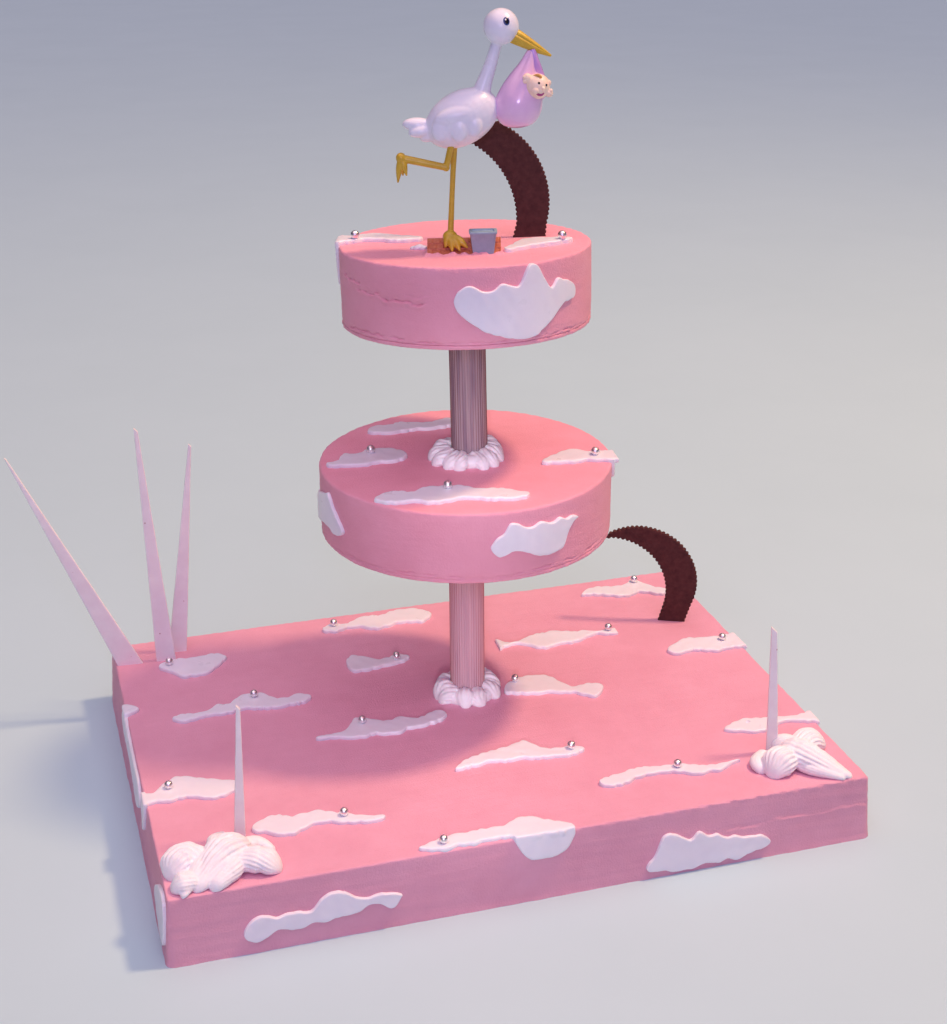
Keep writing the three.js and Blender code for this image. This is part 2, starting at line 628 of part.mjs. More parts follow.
const STANDING_LEG = {
  shank: { points: [[-6.8, 3, 86], [-9.5, 1, 50], [-11.8, -2, 14]], radii: [2.4, 2.1, 2.3] },
  knuckle: { at: [-11.5, -4, 11.5], size: [6.4, 7, 5.6] },
  toes: [[-10.2, -14.5, 3], [-4, -14, 3.4], [1.5, -11, 5.2]],
};
const RAISED_LEG = {
  thigh: { points: [[-8.5, -6, 84], [-13.8, -6, 64.6]], radii: [2.7, 2.4] },
  shank: { points: [[-13.2, -6, 65.4], [-46, -6, 72.5]], radii: [2.4, 2.4] },
  knuckle: { at: [-47.5, -6, 73], size: [4.6, 4.2, 5] },
  toes: [[-49.8, -6.5, 55], [-44, -8, 60], [-46, -3, 59]],
};

const TOE = { radii: [2.8, 2.5, 0.6], bend: 0.45, sides: 5 };

/** A leg with its foot: a shank, a knuckle and toes that taper to a point. */
function leg({ thigh, shank, knuckle, toes }) {
  const claws = toes.map((tip) => {
    const middle = knuckle.at.map((value, k) => value + TOE.bend * (tip[k] - value));
    return tube([knuckle.at, middle, tip], TOE.radii, TOE.sides);
  });
  const joint = ellipsoid(knuckle.at, knuckle.size, { around: 8, rings: 5 });
  const bones = [shank, thigh].filter(Boolean).map(({ points, radii }) => tube(points, radii, 6));
  return union([...bones, joint, ...claws]);
}

// The bundle's rings from its bottom to its knot: height, middle and half width
const BUNDLE = {
  rings: [
    [93.6, 40.5, 5], [95.5, 41, 10.5], [99, 41.3, 14.6], [105, 41.6, 17.6], [111.5, 42, 18.2],
    [118, 42.8, 17], [126, 44.2, 14], [134, 46.6, 10.3], [142, 49.8, 6.5], [150.5, 52.6, 3.8],
  ],
  depth: 0.82,
  sides: 10,
};

function bundle() {
  const { rings, depth, sides } = BUNDLE;
  return solid(loft(rings.map(([z, x, half]) => Array.from({ length: sides }, (_, j) => {
    const turn = (2 * PI * j) / sides;
    return new THREE.Vector3(x + half * Math.cos(turn), depth * half * Math.sin(turn), z);
  }))));
}

const BABY = {
  head: { at: [56, -6.5, 124.5], size: [9.8, 9, 9.4] },
  hands: [{ at: [48.6, -9.5, 131], size: [3.6, 3.2, 3.6] }, { at: [64.8, -8, 119.5], size: [3.2, 3, 3] }],
};

function baby(margin = 0) {
  const grown = (size) => size.map((reach) => reach + margin);
  return union([
    ellipsoid(BABY.head.at, grown(BABY.head.size), { around: 12, rings: 8 }),
    ...BABY.hands.map(({ at, size }) => ellipsoid(at, grown(size), { around: 8, rings: 5 })),
  ]);
}

function stork() {
  const group = new THREE.Group();
  const nearBody = birdBody(GAP);
  const bag = bundle().subtract(nearBody).subtract(beak(GAP)).subtract(baby(GAP));
  addMesh(group, 'roof', roof(), BRICK_PLASTIC);
  addMesh(group, 'chimney', chimney(), GREY_PLASTIC);
  addMesh(group, 'stork_body', birdBody(), WHITE_PLASTIC);
  addMesh(group, 'stork_beak', beak().subtract(nearBody), OCHRE_PLASTIC);
  addMesh(group, 'stork_leg', leg(STANDING_LEG).subtract(nearBody).subtract(roof(GAP)), OCHRE_PLASTIC);
  addMesh(group, 'stork_raised_leg', leg(RAISED_LEG).subtract(nearBody), OCHRE_PLASTIC);
  addMesh(group, 'bundle', bag, PINK_PLASTIC);
  addMesh(group, 'baby', baby(), SKIN_PLASTIC);
  return group;
}

// Cracks in the icing

/** A shallow crack that wanders along a tier's side, from one [u, v] point to another. */
function crack(tier, { from, to, steps }) {
  const surface = surfaces.tierSide(tier);
  const { depth, halfWidth, reach, wander, wave } = CRACK;
  const rings = Array.from({ length: steps + 1 }, (_, i) => {
    const share = i / steps;
    const u = from[0] + (to[0] - from[0]) * share;
    const v = from[1] + (to[1] - from[1]) * share + wander * Math.sin(wave * i);
    return [surface([u, v - halfWidth], reach), surface([u, v], -depth), surface([u, v + halfWidth], reach)];
  });
  return solid(loft(rings));
}

// The cake

function baseTier() {
  const group = new THREE.Group();
  addMesh(group, 'base_cake', baseCake(), ICING);
  addBaseClouds(group);
  Object.entries(SHARDS).forEach(([name, spec]) => addMesh(group, name, shard(spec), SUGAR));
  const heaps = { left: LEFT_HEAP, right: RIGHT_HEAP };
  Object.entries(heaps).forEach(([side, strokes]) => {
    const clearance = shard(SHARDS[`shard_front_${side}`], GAP);
    addMesh(group, `cream_front_${side}`, creamHeap(strokes, clearance), CREAM);
  });
  addCrescent(group, 'base_crescent', BASE_CRESCENT, BASE.height);
  return group;
}

function middleTier() {
  const group = new THREE.Group();
  const cake = new THREE.Group();
  const pillar = MIDDLE.bottom - PLATE.thickness - BASE.height;
  const foot = BASE.height - MIDDLE.bottom;
  addMesh(group, 'lower_column', column(pillar), CLEAR_PLASTIC).position.z = foot;
  addMesh(group, 'lower_shells', shellRing(LOWER_RING), CREAM).position.z = foot;
  addMesh(group, 'middle_plate', plate(MIDDLE), CLEAR_PLASTIC).position.z = -PLATE.thickness;
  addMesh(cake, 'middle_cake', roundCake(MIDDLE), ICING);
  const side = surfaces.tierSide(MIDDLE);
  addClouds(cake, 'middle_top', MIDDLE_TOP_CLOUDS, surfaces.tierTop(MIDDLE, 0), side);
  addClouds(cake, 'middle_side', MIDDLE_SIDE_CLOUDS, side);
  group.add(cake);
  group.position.set(COLUMN.x, COLUMN.y, MIDDLE.bottom);
  return group;
}

/** The upper column and the top tier lean back together, from the middle tier's top. */
function topTier() {
  const group = new THREE.Group();
  const leaning = new THREE.Group();
  const cake = new THREE.Group();
  const lift = COLUMN.radius * Math.sin(TOP_LEAN) + GAP;
  const pillar = TOP.rise - PLATE.thickness - lift - 2 * GAP;
  addMesh(group, 'upper_shells', shellRing(UPPER_RING), CREAM);
  addMesh(leaning, 'upper_column', column(pillar), CLEAR_PLASTIC).position.z = lift;
  addMesh(leaning, 'top_plate', plate(TOP), CLEAR_PLASTIC).position.z = TOP.rise - PLATE.thickness - GAP;
  const body = TOP_CRACKS.reduce((cut, spec) => cut.subtract(crack(TOP, spec)), roundCake(TOP));
  addMesh(cake, 'top_cake', body, ICING);
  const side = surfaces.tierSide(TOP);
  addClouds(cake, 'top_top', TOP_TOP_CLOUDS, surfaces.tierTop(TOP, GAP), side);
  addClouds(cake, 'top_side', TOP_SIDE_CLOUDS, side);
  addCrescent(cake, 'top_crescent', TOP_CRESCENT, TOP.height + GAP);
  const bird = stork();
  bird.rotation.z = FACING;
  bird.position.set(...STORK_PLACE, TOP.height + GAP);
  cake.add(bird);
  cake.position.z = TOP.rise;
  leaning.add(cake);
  leaning.rotation.x = -TOP_LEAN;
  group.add(leaning);
  group.position.set(COLUMN.x + TOP_SHIFT[0], COLUMN.y + TOP_SHIFT[1], MIDDLE_TOP);
  return group;
}

const tieredCake = new THREE.Group();
tieredCake.add(baseTier(), middleTier(), topTier());

export default tieredCake;
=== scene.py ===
"""Dresses the tiered cake: knifed icing, rolled clouds, piped cream, sugar, chocolate and the stork.

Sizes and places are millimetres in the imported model's frame, +Z up. They become metres when a mesh is made.
"""

import logging
import math
from abc import ABC, abstractmethod
from dataclasses import dataclass, replace
from enum import Enum
from typing import Callable, Optional, Sequence

import bmesh
import bpy
import numpy as np
from mathutils import Matrix, Vector


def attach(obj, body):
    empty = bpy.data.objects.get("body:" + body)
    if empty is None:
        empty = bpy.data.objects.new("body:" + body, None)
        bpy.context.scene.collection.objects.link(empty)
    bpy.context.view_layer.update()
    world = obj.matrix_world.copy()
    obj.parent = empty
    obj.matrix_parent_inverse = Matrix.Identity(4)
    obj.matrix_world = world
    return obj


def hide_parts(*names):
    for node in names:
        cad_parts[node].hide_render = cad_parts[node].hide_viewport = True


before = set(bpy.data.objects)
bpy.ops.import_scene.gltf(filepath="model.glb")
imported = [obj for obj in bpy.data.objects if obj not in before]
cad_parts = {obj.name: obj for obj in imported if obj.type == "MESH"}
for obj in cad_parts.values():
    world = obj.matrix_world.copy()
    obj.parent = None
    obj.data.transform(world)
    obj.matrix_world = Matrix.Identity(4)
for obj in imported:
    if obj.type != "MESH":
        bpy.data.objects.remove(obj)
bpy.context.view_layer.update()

LOG = logging.getLogger("tiered_cake")
MM = 0.001
BODY = "root"
# Points nearer to each other than this become one
WELD = 0.001
# Edges with a larger angle, in degrees, stay crisp: on cut pieces, and on piped or moulded ones
SHARP_EDGE = 50.0
SOFT_EDGE = 80.0
# Keeps a division away from zero
TINY = 1e-9
# The y of a direction of length 1 from which it counts as a direction along y
ALONG_Y = 0.9
# The most of a narrow strip's width that one rounded rim takes
RIM_SHARE = 0.45
# How much the waves of an uneven field differ in length
WAVE_SPREAD = (0.7, 1.5)

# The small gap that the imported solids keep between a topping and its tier
GAP = 0.3
# What faces the photograph's view is turned a little to the left of -Y
FACING = math.radians(-16.5)
# Distances round a tier's side are counted from the upright line that faces the view
FACING_LINE = math.radians(-106.25)

Array = np.ndarray
Place = tuple[float, float, float]
Spot = tuple[float, float]
Numbers = tuple[float, ...]
Places = tuple[Place, ...]
Surface = Callable[[Array, Array, Array], Array]
Tree = bpy.types.NodeTree
Socket = bpy.types.NodeSocket
Pieces = list[bpy.types.Object]


# Shapes


@dataclass
class Shape:
    """Corner points in millimetres and the faces between them."""

    points: Array
    faces: list[tuple[int, ...]]

    def placed(self, place: Matrix) -> "Shape":
        """The shape moved and turned by a matrix."""
        return Shape(moved(self.points, place), self.faces)


def moved(points: Array, place: Matrix) -> Array:
    """Points moved and turned by a matrix."""
    return points @ np.array(place.to_3x3()).T + np.array(place.translation)


def standing(at: Place, turn: float) -> Matrix:
    """A place with a turn about the upright, in radians."""
    return Matrix.Translation(at) @ Matrix.Rotation(turn, 4, "Z")


def unit(ways: Array) -> Array:
    """Directions made one long, a row for each."""
    return ways / np.linalg.norm(ways, axis=1, keepdims=True)


def joined(shapes: Sequence[Shape]) -> Shape:
    """Put several shapes in one, without any change to their faces.

    Args:
        shapes: the shapes.

    Returns:
        One shape that holds them all.
    """
    starts = np.cumsum([0] + [len(shape.points) for shape in shapes]).tolist()
    faces = [
        tuple(corner + start for corner in face)
        for shape, start in zip(shapes, starts)
        for face in shape.faces
    ]
    return Shape(np.concatenate([shape.points for shape in shapes]), faces)


def loft(rings: Array, loop: bool = False) -> Shape:
    """Skin a row of rings that hold the same number of points.

    Args:
        rings: points by ring and by corner.
        loop: joins the last ring to the first, in place of a cap on both ends.

    Returns:
        The closed shape.
    """
    rows, columns = rings.shape[:2]
    index = np.arange(rows * columns).reshape(rows, columns)
    strip = np.vstack([index, index[:1]]) if loop else index
    near, far = strip[:-1], strip[1:]
    quads = np.stack([near, np.roll(near, -1, 1), np.roll(far, -1, 1), far], -1)
    faces = [tuple(quad) for quad in quads.reshape(-1, 4).tolist()]
    if not loop:
        faces += [tuple(index[0, ::-1].tolist()), tuple(index[-1].tolist())]
    return Shape(rings.reshape(-1, 3), faces)


def sheet(first: Array, second: Array, place: Surface, height: float) -> Shape:
    """A ruled sheet of quads.

    Args:
        first: positions of the lines across the sheet.
        second: positions of the lines along it.
        place: puts a point of the sheet in space.
        height: the third coordinate that place is given.

    Returns:
        The open sheet.
    """
    a, b = np.meshgrid(first, second, indexing="ij")
    index = np.arange(a.size).reshape(a.shape)
    quads = np.stack([index[:-1, :-1], index[1:, :-1], index[1:, 1:], index[:-1, 1:]], -1)
    points = place(a, b, np.full(a.shape, height)).reshape(-1, 3)
    return Shape(points, [tuple(quad) for quad in quads.reshape(-1, 4).tolist()])


def full_turn(count: int) -> Array:
    """Evenly spaced angles all the way round."""
    return np.linspace(0, math.tau, count, endpoint=False)


def spun(reach: Array, level: Array, turn: Array) -> Array:
    """Points round the z axis, at distances from it, at heights and at angles."""
    return np.stack([reach * np.cos(turn), reach * np.sin(turn), level + 0 * turn], -1)


def clipped(share: Array) -> Array:
    """Shares kept between 0 and 1."""
    return np.clip(share, 0, 1)


def smooth_through(values: Sequence, share: Array) -> Array:
    """Values on a smooth curve through evenly spaced stations.

    Args:
        values: a number or a point for each station.
        share: how far along the row of stations to look, from 0 to 1.

    Returns:
        One value for each share.
    """
    knots = np.asarray(values, float)
    before = 2 * knots[:1] - knots[1:2]
    after = 2 * knots[-1:] - knots[-2:-1]
    padded = np.concatenate([before, knots, after])
    at = clipped(share) * (len(knots) - 1)
    start = np.minimum(at.astype(int), len(knots) - 2)
    step = (at - start).reshape((-1,) + (1,) * (knots.ndim - 1))
    a, b, c, d = (padded[start + k] for k in range(4))
    bend = (2 * a - 5 * b + 4 * c - d) * step**2 + (3 * b - a - 3 * c + d) * step**3
    return 0.5 * (2 * b + (c - a) * step + bend)


def eased(count: int) -> Array:
    """Shares from 0 to 1 that lie closer together at both ends."""
    return 0.5 - 0.5 * np.cos(np.linspace(0, math.pi, count))


def ripple(points: Array, size: float | Sequence[float], seed: int, waves: int = 9) -> Array:
    """An uneven field with swells of about a size, mostly between -1 and 1.

    Args:
        points: where to look, one row for each point.
        size: distance between swells, one number or one for each axis.
        seed: sets the field.
        waves: how many plane waves are added up.

    Returns:
        One number for each point.
    """
    draw = np.random.default_rng(seed)
    spacing = np.broadcast_to(np.asarray(size, float), points.shape[-1:])
    total = np.zeros(points.shape[:-1])
    for _ in range(waves):
        way = draw.normal(size=points.shape[-1])
        way *= draw.uniform(*WAVE_SPREAD) / np.linalg.norm(way)
        total += np.sin(points @ (math.tau * way / spacing) + draw.uniform(0, math.tau))
    return np.tanh(total / math.sqrt(waves))


@dataclass(frozen=True)
class Swell:
    """Unevenness: its depth and the distance between its swells, one number or one for each axis."""

    depth: float
    size: float | Place

    def at(self, points: Array, seed: int) -> Array:
        """How far it stands proud or low at points."""
        return self.depth * ripple(points, self.size, seed)


def hump(distance: Array, width: float) -> Array:
    """A smooth hump that is 1 at no distance and fades over a width."""
    return np.exp(-((distance / width) ** 2))


def ruled(low: float, high: float, step: float, fine: float, zone: float) -> Array:
    """Positions of ruled lines, closer together at both ends.

    Args:
        low: the first position.
        high: the last one.
        step: the distance between lines.
        fine: the distance at the ends.
        zone: how far the ends reach in.

    Returns:
        The positions in order.
    """
    ends = max(1, round(zone / fine))
    middle = max(1, round((high - low - 2 * zone) / step))
    return np.concatenate([
        np.linspace(low, low + zone, ends, endpoint=False),
        np.linspace(low + zone, high - zone, middle, endpoint=False),
        np.linspace(high - zone, high, ends + 1),
    ])


@dataclass(frozen=True)
class Bar:
    """A round bar: points along it, its radius at each, and its mesh's steps along and around."""

    points: Sequence[Place]
    radii: Sequence[float]
    steps: int = 28
    around: int = 24

    def shape(self) -> Shape:
        """The bar on a smooth curve through its points.

        Returns:
            The shape, closed at both ends.
        """
        share = np.linspace(0, 1, self.steps + 1)
        path = smooth_through(self.points, share)
        size = smooth_through(self.radii, share)[:, None, None]
        along = unit(np.gradient(path, axis=0))
        lead = np.array([1.0, 0, 0]) if abs(along[0][1]) > ALONG_Y else np.array([0, 1.0, 0])
        side = unit(lead - (along @ lead)[:, None] * along)
        up = np.cross(along, side)
        turn = full_turn(self.around)[:, None]
        ring = side[:, None] * np.cos(turn) + up[:, None] * np.sin(turn)
        return loft(path[:, None] + size * ring)


@dataclass(frozen=True)
class Egg:
    """An ellipsoid: its middle, its half sizes, how far its +X end is tilted up, in degrees, and its mesh."""

    at: Place
    size: Place
    tilt: float = 0.0
    around: int = 32
    rows: int = 20

    def shape(self) -> Shape:
        """The ellipsoid.

        Returns:
            The closed shape.
        """
        rise = np.linspace(-math.pi / 2, math.pi / 2, self.rows + 1)[:, None]
        ball = spun(np.cos(rise), np.sin(rise), full_turn(self.around))
        place = Matrix.Translation(self.at) @ Matrix.Rotation(-math.radians(self.tilt), 4, "Y")
        return loft(moved(ball * np.array(self.size), place))


def blade(
    left: Array, right: Array, thickness: float, rounding: float, bends: int = 5, lines: int = 7
) -> Shape:
    """A flat blade that stands in the x-z plane between two edges, with rounded rims.

    Args:
        left: points of one edge, as x and z.
        right: as many points of the other edge.
        thickness: reach along y, centred on y = 0.
        rounding: radius of the rims.
        bends: points round a quarter of a rim.
        lines: lines of points between the rims.

    Returns:
        The closed blade.
    """
    span = right - left
    width = np.maximum(np.linalg.norm(span, axis=1, keepdims=True), TINY)
    radius = np.minimum(rounding, RIM_SHARE * width)
    bend = np.linspace(0, math.pi / 2, bends)
    inner = np.linspace(0, 1, lines + 2)[1:-1]
    flat = radius + (width - 2 * radius) * inner
    out, up = radius * np.cos(bend), radius * np.sin(bend)
    reach = np.hstack([
        radius - out, flat, width - radius + out[:, ::-1],
        width - radius + out, flat[:, ::-1], radius - out[:, ::-1],
    ])
    face = np.ones_like(flat) * thickness / 2
    rise = thickness / 2 - radius
    depth = np.hstack([-rise - up, -face, -rise - up[:, ::-1], rise + up, face, rise + up[:, ::-1]])
    flat_points = left[:, None] + (span / width)[:, None] * reach[:, :, None]
    return loft(np.stack([flat_points[..., 0], depth, flat_points[..., 1]], -1))


# Blender objects


def mesh_object(name: str, shape: Shape, sharp: float = SHARP_EDGE) -> bpy.types.Object:
    """Make a welded, closed and smoothly shaded object of a shape.

    Args:
        name: the object's name.
        shape: what it looks like.
        sharp: edges with a larger angle than this, in degrees, stay crisp.

    Returns:
        The new object.
    """
    mesh = bpy.data.meshes.new(name)
    mesh.from_pydata((shape.points * MM).tolist(), [], shape.faces)
    body = bmesh.new()
    body.from_mesh(mesh)
    bmesh.ops.remove_doubles(body, verts=body.verts, dist=WELD * MM)
    bmesh.ops.holes_fill(body, edges=body.edges, sides=0)
    bmesh.ops.recalc_face_normals(body, faces=body.faces)
    for face in body.faces:
        face.smooth = True
    for edge in body.edges:
        edge.smooth = edge.calc_face_angle(0.0) < math.radians(sharp)
    body.to_mesh(mesh)
    body.free()
    made = bpy.data.objects.new(name, mesh)
    bpy.context.scene.collection.objects.link(made)
    return made


def harvest(body: bpy.types.Object, helpers: Sequence[bpy.types.Object] = ()) -> Shape:
    """Take the mesh that an object's modifiers give, and remove the object.

    Args:
        body: the object.
        helpers: objects that its modifiers used, which are removed as well.

    Returns:
        The mesh as a shape.
    """
    seen = body.evaluated_get(bpy.context.evaluated_depsgraph_get())
    mesh = seen.to_mesh()
    points = np.empty(len(mesh.vertices) * 3)
    mesh.vertices.foreach_get("co", points)
    faces = [tuple(face.vertices) for face in mesh.polygons]
    seen.to_mesh_clear()
    for spent in (body, *helpers):
        data = spent.data
        bpy.data.objects.remove(spent)
        bpy.data.meshes.remove(data)
    return Shape(points.reshape(-1, 3) / MM, faces)


def cut_out(first: Shape, other: Shape) -> Shape:
    """Cut one closed shape out of another.

    Args:
        first: what is cut.
        other: what is taken away.

    Returns:
        What is left of the first shape.
    """
    body, helper = mesh_object("draft", first), mesh_object("draft_helper", other)
    step = body.modifiers.new("cut", "BOOLEAN")
    step.operation = "DIFFERENCE"
    step.solver = "MANIFOLD"
    step.object = helper
    return harvest(body, [helper])


def melted(shapes: Sequence[Shape], voxel: float, rounds: int) -> Shape:
    """Run overlapping shapes together to one soft skin.

    Args:
        shapes: closed shapes.
        voxel: size of the new skin's mesh.
        rounds: how many times the skin is smoothed.

    Returns:
        The joined shape.
    """
    body = mesh_object("draft", joined(shapes))
    skin = body.modifiers.new("skin", "REMESH")
    skin.mode = "VOXEL"
    skin.voxel_size = voxel * MM
    soften = body.modifiers.new("soften", "SMOOTH")
    soften.iterations = rounds
    return harvest(body)


def make_piece(
    name: str, shape: Shape, finish: "Finish", nodes: Sequence[str] = (), sharp: float = SHARP_EDGE
) -> bpy.types.Object:
    """Make one piece of the cake, dress it and hang it on the part's body.

    Args:
        name: the piece's name.
        shape: its form.
        finish: its surface.
        nodes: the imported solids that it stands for.
        sharp: edges with a larger angle than this, in degrees, stay crisp.

    Returns:
        The piece.
    """
    made = mesh_object(name, shape, sharp)
    made.data.materials.append(finish.material())
    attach(made, BODY)
    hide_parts(*nodes)
    return made


# Finishes


def linear(colour: str) -> tuple[float, float, float, float]:
    """Turn an sRGB hex colour into linear RGBA."""
    parts = [int(colour[i:i + 2], 16) / 255 for i in (1, 3, 5)]
    return (*(p / 12.92 if p <= 0.04045 else ((p + 0.055) / 1.055) ** 2.4 for p in parts), 1.0)


def add_node(tree: Tree, kind: str, inputs: dict, **settings: object) -> bpy.types.Node:
    """Add a shader node.

    Args:
        tree: where it goes.
        kind: Blender's name of the node type, without its ShaderNode.
        inputs: a value or another node's output for each input, by name or number.
        settings: the node's own properties.

    Returns:
        The node.
    """
    node = tree.nodes.new(f"ShaderNode{kind}")
    for key, value in settings.items():
        setattr(node, key, value)
    for key, value in inputs.items():
        if isinstance(value, Socket):
            tree.links.new(value, node.inputs[key])
        else:
            node.inputs[key].default_value = value
    return node


@dataclass(frozen=True)
class Finish:
    """A surface: mottled between two colours, with a fine grain and uneven gloss.

    The mottle and the grain are sizes in millimetres, the grain one for all axes or one for each. Light
    spreads under the surface to the subsurface depth, by a share of it for red, green and blue.
    """

    name: str
    slot: str
    colour: str
    shade: str
    mottle: float = 24.0
    grain: float | Place = 1.6
    grain_depth: float = 0.08
    rough: Spot = (0.5, 0.6)
    ior: float = 1.45
    specular: float = 0.5
    metallic: float = 0.0
    transmission: float = 0.0
    subsurface: float = 0.0
    subsurface_depth: float = 3.0
    subsurface_share: Place = (1.0, 0.6, 0.5)
    coat: float = 0.0
    coat_rough: float = 0.15
    coat_ior: float = 1.5
    coat_tint: str = "#FFFFFF"

    def material(self) -> bpy.types.Material:
        """The finish as a material, made the first time it is asked for."""
        return bpy.data.materials.get(self.name) or self.mix()

    def mix(self) -> bpy.types.Material:
        """Make the material and its nodes.

        Returns:
            The new material.
        """
        made = bpy.data.materials.new(self.name)
        made.use_nodes = True
        tree = made.node_tree
        tree.nodes.clear()
        where = add_node(tree, "TexCoord", {}).outputs["Object"]
        patches = self.patches(tree, where)
        gloss = add_node(tree, "MapRange", {
            "Value": patches, "To Min": self.rough[0], "To Max": self.rough[1],
        })
        relief = add_node(tree, "Bump", {
            "Height": self.height(tree, where), "Distance": self.grain_depth * MM, "Strength": 1.0,
        })
        surface = add_node(tree, "BsdfPrincipled", {
            "Base Color": self.tint(tree, where, patches),
            "Roughness": gloss.outputs["Result"],
            "Normal": relief.outputs["Normal"],
            "IOR": self.ior,
            "Specular IOR Level": self.specular,
            "Metallic": self.metallic,
            "Transmission Weight": self.transmission,
            "Subsurface Weight": self.subsurface,
            "Subsurface Radius": self.subsurface_share,
            "Subsurface Scale": self.subsurface_depth * MM,
            "Coat Weight": self.coat,
            "Coat Roughness": self.coat_rough,
            "Coat IOR": self.coat_ior,
            "Coat Tint": linear(self.coat_tint),
        })
        add_node(tree, "OutputMaterial", {"Surface": surface.outputs["BSDF"]})
        return made

    def patches(self, tree: Tree, where: Socket) -> Socket:
        """Soft patches that tint and gloss follow.

        Args:
            tree: the material's nodes.
            where: the place on the piece.

        Returns:
            A share from 0 to 1.
        """
        noise = add_node(tree, "TexNoise", {
            "Vector": where, "Scale": 1 / (self.mottle * MM), "Detail": 5.0, "Roughness": 0.6,
        })
        spread = add_node(tree, "MapRange", {
            "Value": noise.outputs["Fac"], "From Min": 0.3, "From Max": 0.7,
        })
        return spread.outputs["Result"]

    def tint(self, tree: Tree, where: Socket, patches: Socket) -> Socket:
        """The colour all over the surface.

        Args:
            tree: the material's nodes.
            where: the place on the piece; not used here.
            patches: how much of the shade shows there.

        Returns:
            The colour.
        """
        blend = add_node(tree, "Mix", {
            0: patches, 6: linear(self.colour), 7: linear(self.shade),
        }, data_type="RGBA")
        return blend.outputs[2]

    def height(self, tree: Tree, where: Socket) -> Socket:
        """The height of the fine grain.

        Args:
            tree: the material's nodes.
            where: the place on the piece.

        Returns:
            A share of the grain's depth.
        """
        scale = tuple(1 / (size * MM) for size in np.broadcast_to(self.grain, 3).tolist())
        laid = add_node(tree, "Mapping", {"Vector": where, "Scale": scale})
        noise = add_node(tree, "TexNoise", {
            "Vector": laid.outputs["Vector"], "Scale": 1.0, "Detail": 3.0, "Roughness": 0.55,
        })
        return noise.outputs["Fac"]


@dataclass(frozen=True)
class KnifedIcing(Finish):
    """Icing with the long shallow tracks that a palette knife leaves, on top of its grain."""

    track: Place = (60.0, 7.0, 4.0)
    track_share: float = 1.0

    def height(self, tree: Tree, where: Socket) -> Socket:
        """The height of the grain and of the knife's tracks.

        Args:
            tree: the material's nodes.
            where: the place on the piece.

        Returns:
            A multiple of the grain's depth.
        """
        grain = super().height(tree, where)
        scale = tuple(1 / (size * MM) for size in self.track)
        laid = add_node(tree, "Mapping", {"Vector": where, "Scale": scale})
        tracks = add_node(tree, "TexNoise", {
            "Vector": laid.outputs["Vector"], "Scale": 1.0, "Detail": 4.0, "Roughness": 0.5,
        })
        both = add_node(tree, "Math", {
            0: tracks.outputs["Fac"], 1: self.track_share, 2: grain,
        }, operation="MULTIPLY_ADD")
        return both.outputs["Value"]


@dataclass(frozen=True)
class SpeckledSugar(Finish):
    """Poured sugar with a few scorched specks, of a size that is a share of their spacing."""

    speck: str = "#B98A84"
    speck_spacing: float = 14.0
    speck_size: float = 0.07

    def tint(self, tree: Tree, where: Socket, patches: Socket) -> Socket:
        """The mottled colour with the specks on it.

        Args:
            tree: the material's nodes.
            where: the place on the piece.
            patches: how much of the shade shows there.

        Returns:
            The colour.
        """
        base = super().tint(tree, where, patches)
        cells = add_node(tree, "TexVoronoi", {
            "Vector": where, "Scale": 1 / (self.speck_spacing * MM),
        })
        near = add_node(tree, "MapRange", {
            "Value": cells.outputs["Distance"], "From Min": 0.5 * self.speck_size,
            "From Max": self.speck_size, "To Min": 0.8, "To Max": 0.0,
        })
        blend = add_node(tree, "Mix", {
            0: near.outputs["Result"], 6: base, 7: linear(self.speck),
        }, data_type="RGBA")
        return blend.outputs[2]


@dataclass(frozen=True)
class PaintedReflectionPlastic(Finish):
    """Clear plastic with painted reflections: light and dark streaks in its colour along its tube, which may
    lean.
    """

    painted_reflection_streak: Place = (4.0, 4.0, 70.0)
    lean: Place = (0.0, 0.0, 0.0)

    def patches(self, tree: Tree, where: Socket) -> Socket:
        """Painted reflections: light and dark streaks along the tube.

        Args:
            tree: the material's nodes.
            where: the place on the piece.

        Returns:
            A share from 0 to 1.
        """
        laid = add_node(tree, "Mapping", {
            "Vector": where, "Rotation": self.lean, "Scale": tuple(size * MM for size in self.painted_reflection_streak),
        }, vector_type="TEXTURE")
        noise = add_node(tree, "TexNoise", {
            "Vector": laid.outputs["Vector"], "Scale": 1.0, "Detail": 2.0, "Roughness": 0.5,
        })
        spread = add_node(tree, "MapRange", {
            "Value": noise.outputs["Fac"], "From Min": 0.34, "From Max": 0.66,
        })
        return spread.outputs["Result"]


# Buttercream, spread and drawn flat with a palette knife: matt, faintly streaked, a grainy skin of sugar.
# Its grain is drawn coarser than the 0.2 mm of real icing sugar, so that it shows.
PINK_ICING = KnifedIcing(
    "pink_buttercream", "pink_icing", "#E9ADC2", "#E2A4B9", mottle=38.0, grain=1.4,
    grain_depth=0.42, rough=(0.6, 0.75), specular=0.3, subsurface=0.06, subsurface_depth=2.0,
)
# The round tiers' icing: the same buttercream, coloured a little warmer as painted warm light.
PAINTED_WARM_LIGHT_ICING = replace(PINK_ICING, name="pink_buttercream_painted_warm_light", colour="#F3ADC0", shade="#EDA4B6")
# Rolled sugar paste, cut out and smoothed by hand: a white satin skin with soft broad highlights.
WHITE_ICING = Finish(
    "rolled_sugar_paste", "white_icing", "#F2F3FC", "#ECECF5", mottle=26.0, grain=2.4,
    grain_depth=0.05, rough=(0.26, 0.38), ior=1.47, subsurface=0.15, subsurface_depth=2.0,
)
# Whipped cream from a star nozzle: soft, white and just moist, so its ridges glow and hardly shine.
CREAM = Finish(
    "whipped_cream", "piped_cream", "#F9FBFF", "#F4F5FA", mottle=12.0, grain=1.1,
    grain_depth=0.06, rough=(0.42, 0.55), ior=1.4, subsurface=0.25, subsurface_depth=3.0,
)
